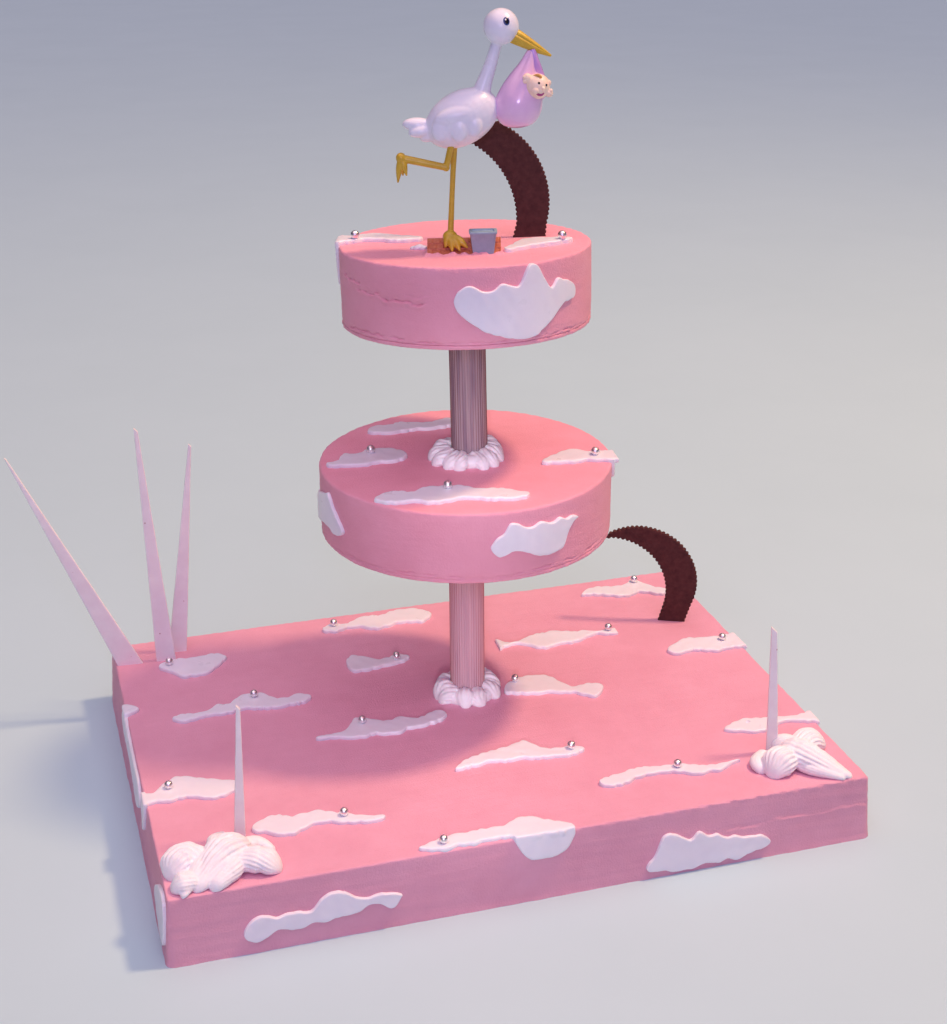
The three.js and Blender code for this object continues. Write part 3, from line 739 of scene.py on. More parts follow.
# Pressed sugar paste, dried hard as thin blades: chalky, pale and slightly uneven in colour.
SUGAR = SpeckledSugar(
    "dried_sugar_blade", "poured_sugar", "#FBF8F9", "#F4EDF0", mottle=18.0, grain=(1.4, 1.4, 2.6),
    grain_depth=0.05, rough=(0.42, 0.55), subsurface=0.1, subsurface_depth=2.0,
)
# Dark chocolate, poured and cut with a scalloped cutter: nearly black brown with a dull bloom.
CHOCOLATE = Finish(
    "poured_dark_chocolate", "dark_chocolate", "#5E3A38", "#4C2E2E", mottle=5.0, grain=1.0,
    grain_depth=0.1, rough=(0.55, 0.7), specular=0.12,
)
# Clear acrylic, extruded with fine flutes and a little clouded: it takes the pink of what is round it.
# Light and dark streaks down its colour are painted reflections, and a browner coat tint, which shows
# more where the eye meets it at a slant, darkens the tube to its edges as painted shade.
ACRYLIC = PaintedReflectionPlastic(
    "fluted_acrylic", "clear_plastic", "#F1E6FA", "#E0D4EC", grain=(3.0, 3.0, 40.0), grain_depth=0.02,
    rough=(0.18, 0.26), ior=1.49, transmission=0.25, coat=1.0, coat_rough=0.08, coat_ior=1.01,
    coat_tint="#F8E1DB",
)
# The same tube higher up, where less pink lies round it: greyer and bluer, as painted shade and a painted
# bluish reflection, with a browner coat tint that paints more shade at its edges.
PAINTED_SHADE_ACRYLIC = replace(
    ACRYLIC, name="fluted_acrylic_painted_shade", colour="#EAF0FF", shade="#BCBCD8", coat_tint="#DCC2BD",
)
# Sugar balls in a silver glaze: small bright mirrors.
PEARL_SILVER = Finish(
    "silver_sugar_pearl", "sugar_pearl", "#FBFAFB", "#F0ECEE", mottle=2.0, grain=0.8,
    grain_depth=0.02, rough=(0.3, 0.42), ior=1.5, metallic=1.0,
)
# Painted PVC of a moulded figure: even colour and a soft gloss that fills its folds with light.
WHITE_PVC = Finish(
    "painted_white_pvc", "white_plastic", "#ECF0FC", "#E4E8F6", mottle=20.0, grain=1.5,
    grain_depth=0.03, rough=(0.25, 0.34), ior=1.53, subsurface=0.08, subsurface_depth=1.5,
)
OCHRE_PVC = Finish(
    "painted_ochre_pvc", "ochre_plastic", "#D6B83A", "#C8A62C", mottle=9.0, grain=1.2,
    grain_depth=0.05, rough=(0.3, 0.4), ior=1.53,
)
PINK_PVC = Finish(
    "painted_pink_pvc", "pink_plastic", "#EFCCEE", "#E8C0E8", mottle=10.0, grain=1.4,
    grain_depth=0.03, rough=(0.16, 0.24), ior=1.53, coat=0.5,
)
# The band from the knot down to the baby's head: the same pink paint, coloured lilac as painted shade.
PAINTED_SHADE_PINK_PVC = replace(PINK_PVC, name="pink_pvc_painted_shade", colour="#C9A0E4", shade="#BD94DC")
SKIN_PVC = Finish(
    "painted_skin_pvc", "skin_plastic", "#FFEAD8", "#FADCC4", mottle=6.0, grain=1.0,
    grain_depth=0.03, rough=(0.35, 0.45), ior=1.53, subsurface=0.1, subsurface_depth=1.0,
)
BRICK_PVC = Finish(
    "painted_brick_pvc", "brick_plastic", "#CE7854", "#B2593C", mottle=5.0, grain=0.9,
    grain_depth=0.1, rough=(0.45, 0.6), ior=1.53,
)
GREY_PVC = Finish(
    "painted_grey_pvc", "grey_plastic", "#9AB6C8", "#8CA8BA", mottle=6.0, grain=(0.9, 0.9, 3.0),
    grain_depth=0.1, rough=(0.42, 0.55), ior=1.53,
)
# Small painted details of the figure, in thin glossy dots and lines of enamel.
NAVY_ENAMEL = Finish(
    "navy_enamel", "grey_plastic", "#3E5496", "#33477F", mottle=2.0, grain_depth=0.01, rough=(0.15, 0.25),
)
BLACK_ENAMEL = Finish(
    "black_enamel", "grey_plastic", "#14141C", "#1C1C26", mottle=2.0, grain_depth=0.01, rough=(0.12, 0.2),
)
WHITE_ENAMEL = Finish(
    "white_enamel", "white_plastic", "#FBFBFF", "#F2F2FA", mottle=2.0, grain_depth=0.01, rough=(0.12, 0.2),
)
ROSE_ENAMEL = Finish(
    "rose_enamel", "pink_plastic", "#B8588E", "#A84C80", mottle=2.0, grain_depth=0.01, rough=(0.2, 0.3),
)
BLOND_ENAMEL = Finish(
    "blond_enamel", "ochre_plastic", "#D8AC62", "#C4944A", mottle=2.0, grain_depth=0.05, rough=(0.35, 0.45),
)
# Seamless paper, rolled out under the cake: matt, pale and almost without a mark.
PAPER = Finish(
    "studio_paper", "", "#BCDAE2", "#B9D7DF", mottle=300.0, grain=3.0, grain_depth=0.02,
    rough=(0.8, 0.9),
)


class Part(ABC):
    """A sub-assembly of the cake."""

    @abstractmethod
    def build(self) -> Pieces:
        """Make the pieces and dress them.

        Returns:
            The pieces.
        """


# Tiers


@dataclass(frozen=True)
class IcingLedge:
    """The ledge on the right of the base's front, where one coat of icing overlaps the next.

    It starts at an x and fades in. Below its line the icing stands proud, above it lies low, by a depth that
    fades over a height, and more or less of that is left along it.
    """

    height: float = 31.5
    drift: Swell = Swell(1.3, 60.0)
    ragged: Swell = Swell(1.1, 8.0)
    start: float = 148.0
    fade: float = 14.0
    left_over: float = 0.7
    broken: Swell = Swell(0.5, 21.0)
    least: float = 0.15
    proud: Spot = (0.35, 8.0)
    low: Spot = (0.65, 7.0)

    def rise(self, points: Array, seed: int) -> Array:
        """How far the ledge stands off the front.

        Args:
            points: points of the front.
            seed: sets how it wanders and breaks off.

        Returns:
            A distance for each point.
        """
        along = points * [1, 0, 0]
        line = self.height + self.drift.at(along, seed) + self.ragged.at(along, seed + 2)
        fade = clipped((points[:, 0] - self.start) / self.fade)
        broken = np.clip(self.left_over + self.broken.at(along, seed + 1), self.least, 1)
        above = points[:, 2] - line
        proud = self.proud[0] * hump(above, self.proud[1])
        low = self.low[0] * hump(above, self.low[1])
        return fade * broken * np.where(above < 0, proud, -low)


@dataclass(frozen=True)
class BaseTier(Part):
    """The long iced base tier, which leans out towards its foot.

    Its mesh has rows up its sides: at the foot, up the wall, across the ledge and above it. The top edge is
    worn, more so towards the right of the front. At the foot the icing is spread out, up to a height.
    """

    length: float = 566.0
    width: float = 415.0
    height: float = 56.0
    flare: float = 4.6
    corner: float = 2.2
    edge: float = 1.5
    seed: int = 11
    x_step: float = 2.5
    y_step: float = 6.5
    fine_step: float = 0.5
    foot_rows: Numbers = (0, 0.8, 1.6, 2.6)
    wall_rows: Place = (4, 26, 1.6)
    ledge_rows: Place = (26, 38, 0.65)
    upper_rows: Spot = (39, 1.3)
    broad: Swell = Swell(0.2, 80.0)
    tracks: Swell = Swell(0.1, (140.0, 16.0, 9.0))
    wear: float = 0.25
    front_wear: float = 0.7
    front_wear_full: float = 180.0
    front_share: float = 0.45
    wear_size: float = 6.0
    wear_reach: float = 1.7
    spread: Spot = (0.5, 2.5)
    spread_share: float = 0.6
    spread_swell: Swell = Swell(0.6, 22.0)
    ledge: IcingLedge = IcingLedge()

    def outset(self, z: Array) -> Array:
        """How far the side stands out at a height."""
        return self.flare * (1 - z / self.height)

    def top(self, u: Array, v: Array, w: Array) -> Array:
        """Where a point of the top lies: u and v on it, w off it."""
        return np.stack([u, v, self.height + w], -1)

    def front(self, u: Array, v: Array, w: Array) -> Array:
        """Where a point of the front lies: u along it, v up it, w off it."""
        return np.stack([u, -self.width / 2 - self.outset(v) - GAP - w, v], -1)

    def back(self, u: Array, v: Array, w: Array) -> Array:
        """Where a point of the back lies."""
        return np.stack([-u, self.width / 2 + self.outset(v) + GAP + w, v], -1)

    def left(self, u: Array, v: Array, w: Array) -> Array:
        """Where a point of the left side lies."""
        return np.stack([-self.length / 2 - self.outset(v) - GAP - w, -u, v], -1)

    def right(self, u: Array, v: Array, w: Array) -> Array:
        """Where a point of the right side lies."""
        return np.stack([self.length / 2 + self.outset(v) + GAP + w, u, v], -1)

    def ruled_box(self) -> Shape:
        """The tier as a box of fine quads with square edges.

        Returns:
            The box, open below.
        """
        half, depth = self.length / 2, self.width / 2
        xs = ruled(-half, half, self.x_step, self.fine_step, self.corner)
        ys = ruled(-depth, depth, self.y_step, self.fine_step, self.corner)
        upper, upper_step = self.upper_rows
        zs = np.concatenate([
            self.foot_rows, np.arange(*self.wall_rows), np.arange(*self.ledge_rows),
            ruled(upper, self.height, upper_step, self.fine_step, self.edge),
        ])
        sides = [sheet(xs, ys, lambda a, b, c: np.stack([a, b, c], -1), self.height)]
        for y in (-depth, depth):
            sides.append(sheet(xs, zs, lambda a, b, c: np.stack([a, c, b], -1), y))
        for x in (-half, half):
            sides.append(sheet(ys, zs, lambda a, b, c: np.stack([c, a, b], -1), x))
        return joined(sides)

    def build(self) -> Pieces:
        """Round the box's edges, make its icing uneven and dress it.

        Returns:
            The tier.
        """
        box = self.ruled_box()
        size = np.array([self.length, self.width]) / 2
        plan, z = box.points[:, :2], box.points[:, 2]
        on_top = z > self.height - TINY

        # The upright corners
        sign = np.where(plan < 0, -1.0, 1.0)
        beyond = np.maximum(np.abs(plan) - (size - self.corner), 0)
        at_corner = (beyond > 0).all(1)
        far, most = np.linalg.norm(beyond, axis=1), beyond.max(1)
        pull = np.where(at_corner, most / np.maximum(far, TINY), 1.0)[:, None]
        rounded = sign * (np.minimum(np.abs(plan), size - self.corner) + beyond * pull)
        room = size - np.abs(plan)
        inward = np.where(at_corner, self.corner - most, room.min(1))
        straight = np.where(room[:, :1] < room[:, 1:], [[1.0, 0.0]], [[0.0, 1.0]])
        outward = sign * np.where(at_corner[:, None], beyond / np.maximum(far, TINY)[:, None], straight)

        # The top edge
        climb = np.where(
            on_top,
            1 + np.minimum(inward / self.edge, 1),
            clipped((z - self.height + self.edge) / self.edge),
        ) * math.pi / 4
        near = ~on_top | (inward < self.edge)
        inset = np.where(near, self.edge * (1 - np.cos(climb)), inward)
        turned = self.height - self.edge * (1 - np.sin(climb))
        level = np.where(on_top | (climb > 0), turned, z)
        level = np.where(on_top & ~near, self.height, level)
        shift = np.where(near, inward - inset + self.outset(level), 0)
        points = np.column_stack([rounded + outward * shift[:, None], level])
        flat = np.where(on_top & ~near, 0, np.cos(climb))
        normal = np.column_stack([outward * flat[:, None], np.sqrt(1 - flat**2)])

        # The icing
        from_edge = np.where(on_top, inward, self.height - z)
        swell = self.unevenness(points, from_edge, np.where(on_top, self.height, z))
        ledge = self.ledge.rise(points, self.seed + 4)
        swell += np.where(outward[:, 1] < -ALONG_Y, ledge, 0) * ~on_top
        shape = Shape(points + normal * swell[:, None], box.faces)
        return [make_piece("iced_base", shape, PINK_ICING, ["base_cake"])]

    def unevenness(self, points: Array, from_edge: Array, z: Array) -> Array:
        """How far the knife left the icing proud or low.

        Args:
            points: points of the icing.
            from_edge: their distance from the top edge.
            z: their height.

        Returns:
            A distance off the surface for each.
        """
        broad = self.broad.at(points, self.seed) + self.tracks.at(points, self.seed + 1)
        at_front = points[:, 1] < -self.front_share * self.width
        worn = self.wear + self.front_wear * clipped(points[:, 0] / self.front_wear_full) * at_front
        ragged = worn * ripple(points, self.wear_size, self.seed + 2) * hump(from_edge, self.wear_reach)
        out = self.spread[0] * hump(z, self.spread[1])
        foot = out * (self.spread_share + self.spread_swell.at(points, self.seed + 3))
        return broad + ragged + foot


@dataclass(frozen=True)
class RoundTier(Part):
    """A round iced tier on a thin iced card, with its own frame at its foot.

    Its mesh has fine rows at the foot and where it is cracked. A crease of a depth and a half width runs
    round the foot and is partly filled. Below it the side is tucked in, up to a height, with an uneven lip.
    """

    name: str
    radius: float
    height: float
    place: Matrix
    seed: int
    lift: float = 0.0
    card_gap: float = 0.0
    edge: float = 2.2
    card: float = 3.2
    card_inset: float = 0.3
    card_soft: float = 0.9
    card_bends: int = 9
    around: int = 480
    bends: int = 6
    foot: float = 8.5
    row: float = 1.4
    fine_row: float = 0.5
    top_row: float = 5.0
    cracked: Spot = (0.0, 0.0)
    calm: float = 12.0
    broad: Swell = Swell(0.3, 62.0)
    tracks: Swell = Swell(0.12, (90.0, 30.0, 8.0))
    wear: Swell = Swell(0.3, 9.0)
    wear_reach: float = 2.5
    crease_height: float = 2.4
    crease_drift: Swell = Swell(1.5, 70.0)
    crease_wander: Swell = Swell(0.7, 8.0)
    crease: Spot = (1.3, 0.75)
    crease_open: float = 0.6
    crease_fill: Swell = Swell(0.8, 15.0)
    tuck: Spot = (0.5, 1.2)
    lip: Swell = Swell(0.35, 6.0)
    lip_height: float = 3.0
    smear: Swell = Swell(0.3, 17.0)
    fine_smear: Swell = Swell(0.25, 5.0)

    def top(self, u: Array, v: Array, w: Array) -> Array:
        """Where a point of the top lies: u and v on it, w off it."""
        return moved(np.stack([u, v, self.height + self.lift + w], -1), self.place)

    def side(self, u: Array, v: Array, w: Array) -> Array:
        """Where a point of the side lies: u round it, v up it, w off it."""
        return moved(spun(self.radius + GAP + w, v, FACING_LINE + u / self.radius), self.place)

    def build(self) -> Pieces:
        """The tier's icing and its card.

        Returns:
            The icing and the card.
        """
        # Icing and card take the warmer copy of the buttercream, which is painted warm light.
        return [
            make_piece(f"iced_{self.name}", self.icing(), PAINTED_WARM_LIGHT_ICING, [f"{self.name}_cake"]),
            make_piece(f"iced_card_{self.name}", self.iced_card(), PAINTED_WARM_LIGHT_ICING, [f"{self.name}_plate"]),
        ]

    def icing(self) -> Shape:
        """The tier's skin: a side, a rounded edge and a top, all a little uneven.

        Returns:
            The closed skin, in place.
        """
        bend = np.linspace(0, math.pi / 2, self.bends + 2)[1:-1]
        wall = np.unique(np.concatenate([
            np.arange(0, self.foot, self.fine_row), np.arange(*self.cracked, self.fine_row),
            np.arange(self.foot, self.height - self.edge, self.row),
        ]))
        flat = np.arange(self.radius - self.edge, 0, -self.top_row)
        reach = np.concatenate([
            np.full(len(wall), self.radius), self.radius - self.edge * (1 - np.cos(bend)), flat, [0],
        ])[:, None]
        level = np.concatenate([
            wall, self.height - self.edge * (1 - np.sin(bend)), np.full(len(flat) + 1, self.height),
        ])[:, None]
        out = np.concatenate([np.ones(len(wall)), np.cos(bend), np.zeros(len(flat) + 1)])[:, None]
        turn = full_turn(self.around)
        points = spun(reach, level, turn)
        normal = spun(out, np.sqrt(1 - out**2), turn)
        swell = self.unevenness(points) * clipped(reach / self.calm)
        return loft(points + normal * swell[..., None]).placed(self.place)

    def unevenness(self, points: Array) -> Array:
        """How far the icing stands proud or low.

        Args:
            points: points in the tier's own frame.

        Returns:
            A distance off the surface for each.
        """
        reach, z = np.hypot(points[..., 0], points[..., 1]), points[..., 2]
        from_edge = np.hypot(self.radius - reach, self.height - z)
        broad = self.broad.at(points, self.seed) + self.tracks.at(points, self.seed + 1)
        ragged = self.wear.at(points, self.seed + 2) * hump(from_edge, self.wear_reach)
        flat = points * [1, 1, 0]
        line = self.crease_height + self.crease_drift.at(flat, self.seed + 3)
        line = line + self.crease_wander.at(flat, self.seed + 4)
        is_open = clipped(self.crease_open + self.crease_fill.at(flat, self.seed + 5))
        crease = -self.crease[0] * is_open * hump(z - line, self.crease[1])
        tuck = self.tuck[0] * clipped(1 - z / self.tuck[1])
        lip = self.lip.depth * clipped(1 - z / self.lip_height)
        lip = lip * ripple(flat, self.lip.size, self.seed + 6)
        return broad + ragged + np.where(reach > self.radius - self.edge, crease - tuck + lip, 0)

    def iced_card(self) -> Shape:
        """The card under the tier, its rim smeared with icing.

        Returns:
            The closed card, in place.
        """
        turn = full_turn(self.around)
        bend = np.linspace(-math.pi / 2, math.pi / 2, self.card_bends)[:, None]
        half, soft = self.card / 2, self.card_soft
        rim = self.radius - self.card_inset
        reach = rim - soft + soft * np.cos(bend)
        level = (half - soft) * np.sign(bend) + soft * np.sin(bend) - half - self.card_gap
        round_rim = rim * np.stack([np.cos(turn), np.sin(turn)], -1)
        smear = self.smear.at(round_rim, self.seed + 5) + self.fine_smear.at(round_rim, self.seed + 7)
        return loft(spun(reach + smear, level, turn)).placed(self.place)


TOP_LEAN = math.radians(2.9)
COLUMN_PLACE = (12.3, 24.4)
TOP_SHIFT = (3.4, -1.0)
MIDDLE_BOTTOM = 223.6
MIDDLE_HEIGHT = 56.1
TOP_RISE = 122.4
LEANING = (
    Matrix.Translation((COLUMN_PLACE[0] + TOP_SHIFT[0], COLUMN_PLACE[1] + TOP_SHIFT[1],
                        MIDDLE_BOTTOM + MIDDLE_HEIGHT))
    @ Matrix.Rotation(-TOP_LEAN, 4, "X")
)
STORK_SPOT = (-10.0, -38.0)


@dataclass(frozen=True)
class Crack:
    """A crack in a tier's side: its ends, as distances round and up the side, and its depth."""

    start: Spot
    end: Spot
    depth: float


@dataclass(frozen=True)
class TopTier(RoundTier):
    """The top tier, with cracks in its side and icing pushed up round the stork's roof.

    The icing under a crack stands out and that over it lies back: by a share of its depth, at a distance and
    over a half width. The icing round the roof rose at a distance from it, over a half width.
    """

    cracks: tuple[Crack, ...] = (
        Crack((-126, 43), (-94, 40), 1.3), Crack((-102, 35), (-70, 35), 1.2),
        Crack((-76, 33), (-28, 31), 1.7), Crack((-52, 36), (-26, 38), 0.7),
    )
    crack_drift: Swell = Swell(1.3, 19.0)
    crack_wander: Swell = Swell(0.5, 5.0)
    crack_taper: float = 8.0
    crack_open: float = 0.75
    crack_fill: Swell = Swell(0.5, 11.0)
    crack_width: float = 0.7
    under_crack: Place = (0.4, 1.9, 1.5)
    over_crack: Place = (0.35, 1.6, 1.8)
    roof_middle: float = -1.5
    roof_size: Spot = (57.0, 30.0)
    rise: float = 2.6
    rise_share: float = 0.75
    rise_lumps: Swell = Swell(0.55, 8.0)
    rise_behind: float = 0.35
    rise_off: float = 0.4
    rise_width: float = 2.3

    def unevenness(self, points: Array) -> Array:
        """The tier's unevenness with the cracks and the pushed-up icing."""
        return super().unevenness(points) + self.cracking(points) + self.pushed_up(points)

    def cracking(self, points: Array) -> Array:
        """Thin cracks that wander along the left of the side.

        Args:
            points: points in the tier's own frame.

        Returns:
            A distance off the surface for each.
        """
        turn = np.arctan2(points[..., 1], points[..., 0]) - FACING_LINE
        u = ((turn + math.pi) % math.tau - math.pi) * self.radius
        run = u[..., None]
        reach = np.hypot(points[..., 0], points[..., 1])
        wander = self.crack_drift.at(run, self.seed + 6) + self.crack_wander.at(run, self.seed + 7)
        is_open = clipped(self.crack_open + self.crack_fill.at(run, self.seed + 8))
        total = np.zeros(u.shape)
        for crack in self.cracks:
            (start, low), (end, high) = crack.start, crack.end
            share = (u - start) / (end - start)
            off = points[..., 2] - (low + (high - low) * share + wander)
            window = clipped(self.crack_taper * np.minimum(share, 1 - share))
            under = self.under_crack[0] * hump(off + self.under_crack[1], self.under_crack[2])
            over = self.over_crack[0] * hump(off - self.over_crack[1], self.over_crack[2])
            total += crack.depth * window * is_open * (under - hump(off, self.crack_width) - over)
        return np.where(reach > self.radius - self.edge, total, 0)

    def pushed_up(self, points: Array) -> Array:
        """The lip of icing that rose when the roof was pressed in, highest at its front.

        Args:
            points: points in the tier's own frame.

        Returns:
            A distance off the surface for each.
        """
        flat = points[..., :2] - np.array(STORK_SPOT)
        along = flat[..., 0] * math.cos(FACING) + flat[..., 1] * math.sin(FACING)
        across = flat[..., 1] * math.cos(FACING) - flat[..., 0] * math.sin(FACING)
        over = np.stack([
            np.abs(along - self.roof_middle) - self.roof_size[0] / 2, np.abs(across) - self.roof_size[1] / 2,
        ], -1)
        outside = np.linalg.norm(np.maximum(over, 0), axis=-1) + np.minimum(over.max(-1), 0)
        front = np.clip(0.5 - across / self.roof_size[1], self.rise_behind, 1)
        lumps = self.rise_share + self.rise_lumps.at(points, self.seed + 9)
        lip = self.rise * front * lumps * hump(outside - self.rise_off, self.rise_width)
        return np.where(points[..., 2] > self.height - TINY, lip, 0)


BASE = BaseTier()
MIDDLE = RoundTier(
    "middle", 122.4, MIDDLE_HEIGHT, Matrix.Translation((*COLUMN_PLACE, MIDDLE_BOTTOM)), seed=31,
)
TOP = TopTier(
    "top", 101.0, 59.7, LEANING @ Matrix.Translation((0, 0, TOP_RISE)), seed=51, lift=GAP, card_gap=GAP,
    top_row=2.4, cracked=(27.0, 47.0),
)


# Rolled-icing clouds and sugar pearls


TOP_SHEET = 3.3
SIDE_SHEET = 2.4
TOP_LOBE = 1.6
SIDE_LOBE = 0.5


class Face(Enum):
    """The side of a tier that a cloud lies on."""

    BASE_TOP = "base_top"
    BASE_FRONT = "base_front"
    BASE_LEFT = "base_left"
    BASE_RIGHT = "base_right"
    BASE_BACK = "base_back"
    MIDDLE_TOP = "middle_top"
    MIDDLE_SIDE = "middle_side"
    TOP_TOP = "top_top"
    TOP_SIDE = "top_side"

    def surface(self) -> Surface:
        """The function that puts a point of the face in space."""
        tier, side = self.value.split("_")
        return getattr({"base": BASE, "middle": MIDDLE, "top": TOP}[tier], side)

    @property
    def level(self) -> bool:
        """Whether it is the top of a tier."""
        return self.value.endswith("_top")

    @property
    def thickness(self) -> float:
        """How thick the rolled icing is, which is stretched thinner where it is stuck to a side."""
        return TOP_SHEET if self.level else SIDE_SHEET

    @property
    def lobe_depth(self) -> float:
        """How deep the bulges of a hand-cut edge are, which are smoothed away on a side."""
        return TOP_LOBE if self.level else SIDE_LOBE


@dataclass(frozen=True)
class Cloud:
    """A cloud cut from rolled icing, along a line on its tier's face.

    Evenly spaced stations along the line, its ends included, give how far it reaches to the back or up and
    to the front or down. A blunt end stops square. A flap lies round the tier's edge, on the face that fold
    names. The bulges of the cut edge are about a lobe long, and full where the cloud is wide.
    """

    start: Spot
    end: Spot
    back: Numbers
    front: Numbers
    pearl: Optional[Spot] = None
    dent: Optional[Spot] = None
    blunt: tuple[bool, bool] = (False, False)
    fold: Optional[Face] = None
    flap: Optional["Cloud"] = None
    rounding_share: float = 0.5
    sunk: float = 1.2
    tip: float = 3.5
    lobe: float = 10.0
    lobe_spread: Spot = (0.85, 1.2)
    lobe_stray: Swell = Swell(4.0, 40.0)
    lobe_middle: float = 0.6
    full_width: float = 14.0
    dimples: Swell = Swell(0.14, 13.0)
    dent_size: Place = (2.6, 2.6, 4.8)
    step: float = 1.1
    least_steps: int = 30
    bends: int = 6
    lines: int = 11
    fold_voxel: float = 0.95

    def end_share(self, distance: Array, reach: float) -> Array:
        """How full a round end is at a distance from it, from 0 to 1."""
        return np.sqrt(1 - (1 - clipped(distance / reach)) ** 2)

    def widths(self, reach: Sequence[float], share: Array, length: float) -> Array:
        """How far the cloud reaches to one side of its line.

        Args:
            reach: the stations.
            share: how far along the line to look.
            length: the line's length.

        Returns:
            One width for each share.
        """
        wide = smooth_through(reach, share)
        for blunt, distance in zip(self.blunt, (share * length, (1 - share) * length)):
            if not blunt:
                wide = wide * self.end_share(distance, self.tip)
        return wide[:, None]

    def lobes(self, run: Array, seed: int) -> Array:
        """The small bulges of a hand-cut edge.

        Args:
            run: distance along the cloud.
            seed: sets where the bulges lie.

        Returns:
            How far the edge bulges out at each distance, as a share of the bulges' depth.
        """
        draw = np.random.default_rng(seed)
        uneven = run + self.lobe_stray.at(run[:, None], seed)
        pitch = self.lobe * draw.uniform(*self.lobe_spread)
        bulge = np.abs(np.sin(math.pi * uneven / pitch + draw.uniform(0, math.pi)))
        return (bulge - self.lobe_middle)[:, None]

    def slab(self, face: Face, seed: int, hangs: bool = False) -> Shape:
        """The cloud's slab on a face, with a rounded rim.

        Args:
            face: where it lies.
            seed: sets the small wobble of its cut edge.
            hangs: it is a flap, whose edge is cut without lobes.

        Returns:
            The closed slab.
        """
        line = np.subtract(self.end, self.start)
        length = float(np.linalg.norm(line))
        share = eased(max(self.least_steps, int(length / self.step)))
        foot = np.array(self.start) + share[:, None] * line
        across = np.array([-line[1], line[0]]) / length
        front = self.widths(self.front, share, length)
        back = self.widths(self.back, share, length)
        if not hangs:
            full = face.lobe_depth * clipped((front + back) / self.full_width)
            front = front + full * self.lobes(share * length, seed)
            back = back + full * self.lobes(share * length, seed + 1)
        width = np.maximum(front + back, TINY)
        rounding = self.rounding_share * face.thickness
        radius = np.minimum(rounding, RIM_SHARE * width)
        end = np.minimum(share, 1 - share)[:, None] * length
        height = face.thickness - rounding * (1 - self.end_share(end, rounding))
        bend = np.linspace(0, math.pi / 2, self.bends)
        middle = -front + radius + (width - 2 * radius) * np.linspace(0, 1, self.lines + 2)[1:-1]
        rim, rise = radius * np.cos(bend), radius * np.sin(bend)
        across_slab = np.hstack([
            -front, radius - front - rim, middle, back - radius + rim[:, ::-1], back,
        ])
        off_slab = np.hstack([
            -self.sunk + 0 * front, height - radius + rise, height + 0 * middle,
            height - radius + rise[:, ::-1], -self.sunk + 0 * back,
        ])
        flat = foot[:, None] + across_slab[..., None] * across
        dimples = self.dimples.at(flat, seed + 2) * clipped(off_slab / face.thickness)
        return loft(face.surface()(flat[..., 0], flat[..., 1], off_slab + dimples))

    def shape(self, face: Face, seed: int) -> Shape:
        """The whole cloud: its slab, its flap and the dent that a lost pearl left.

        Args:
            face: where it lies.
            seed: sets the wobble of its cut edge and its dimples.

        Returns:
            The closed cloud.
        """
        whole = self.slab(face, seed)
        if self.flap:
            whole = melted([whole, self.flap.slab(self.fold, seed + 3, hangs=True)], self.fold_voxel, 2)
        if self.dent:
            whole = cut_out(whole, Egg(self.pearl_centre(face, self.dent), self.dent_size).shape())
        return whole

    def pearl_centre(self, face: Face, at: Spot) -> Place:
        """The middle of a pearl pressed into the cloud."""
        off = face.thickness + SugarPearls.radius - SugarPearls.sunk
        return tuple(face.surface()(np.array(at[0]), np.array(at[1]), np.array(off)).tolist())


@dataclass(frozen=True)
class SugarPearls(Part):
    """The silver sugar pearls, one pressed into most of the clouds, each a slightly uneven ball."""

    centres: Places
    radius: float = 3.6
    sunk: float = 0.7
    uneven: Spot = (0.95, 1.03)
    seed: int = 7
    around: int = 24
    rows: int = 15

    def build(self) -> Pieces:
        """All pearls as one piece.

        Returns:
            The piece.
        """
        draw = np.random.default_rng(self.seed)
        balls = []
        for centre in self.centres:
            size = tuple(self.radius * draw.uniform(*self.uneven, 3))
            balls.append(Egg(centre, size, around=self.around, rows=self.rows).shape())
        return [make_piece("sugar_pearls", joined(balls), PEARL_SILVER)]


EDGE_X = BASE.length / 2 + SIDE_SHEET + GAP
EDGE_Y = BASE.width / 2 + SIDE_SHEET + GAP
# The cloud at the front edge lies along this line, and reaches from it to the edge where it folds
FRONT_LINE = 203
FOLD = EDGE_Y - FRONT_LINE
SQUARE = (True, True)


def flap(start: float, end: float, edge: float, reach: Numbers) -> Cloud:
    """The part of a cloud that hangs down from an edge.

    Args:
        start: where it starts along the edge.
        end: where it stops.
        edge: how high the edge lies.
        reach: how far down it hangs at stations along the edge.

    Returns:
        The flap, which reaches up through the sheet that lies on top.
    """
    return Cloud((start, edge), (end, edge), (TOP_SHEET,) * len(reach), reach, blunt=SQUARE)


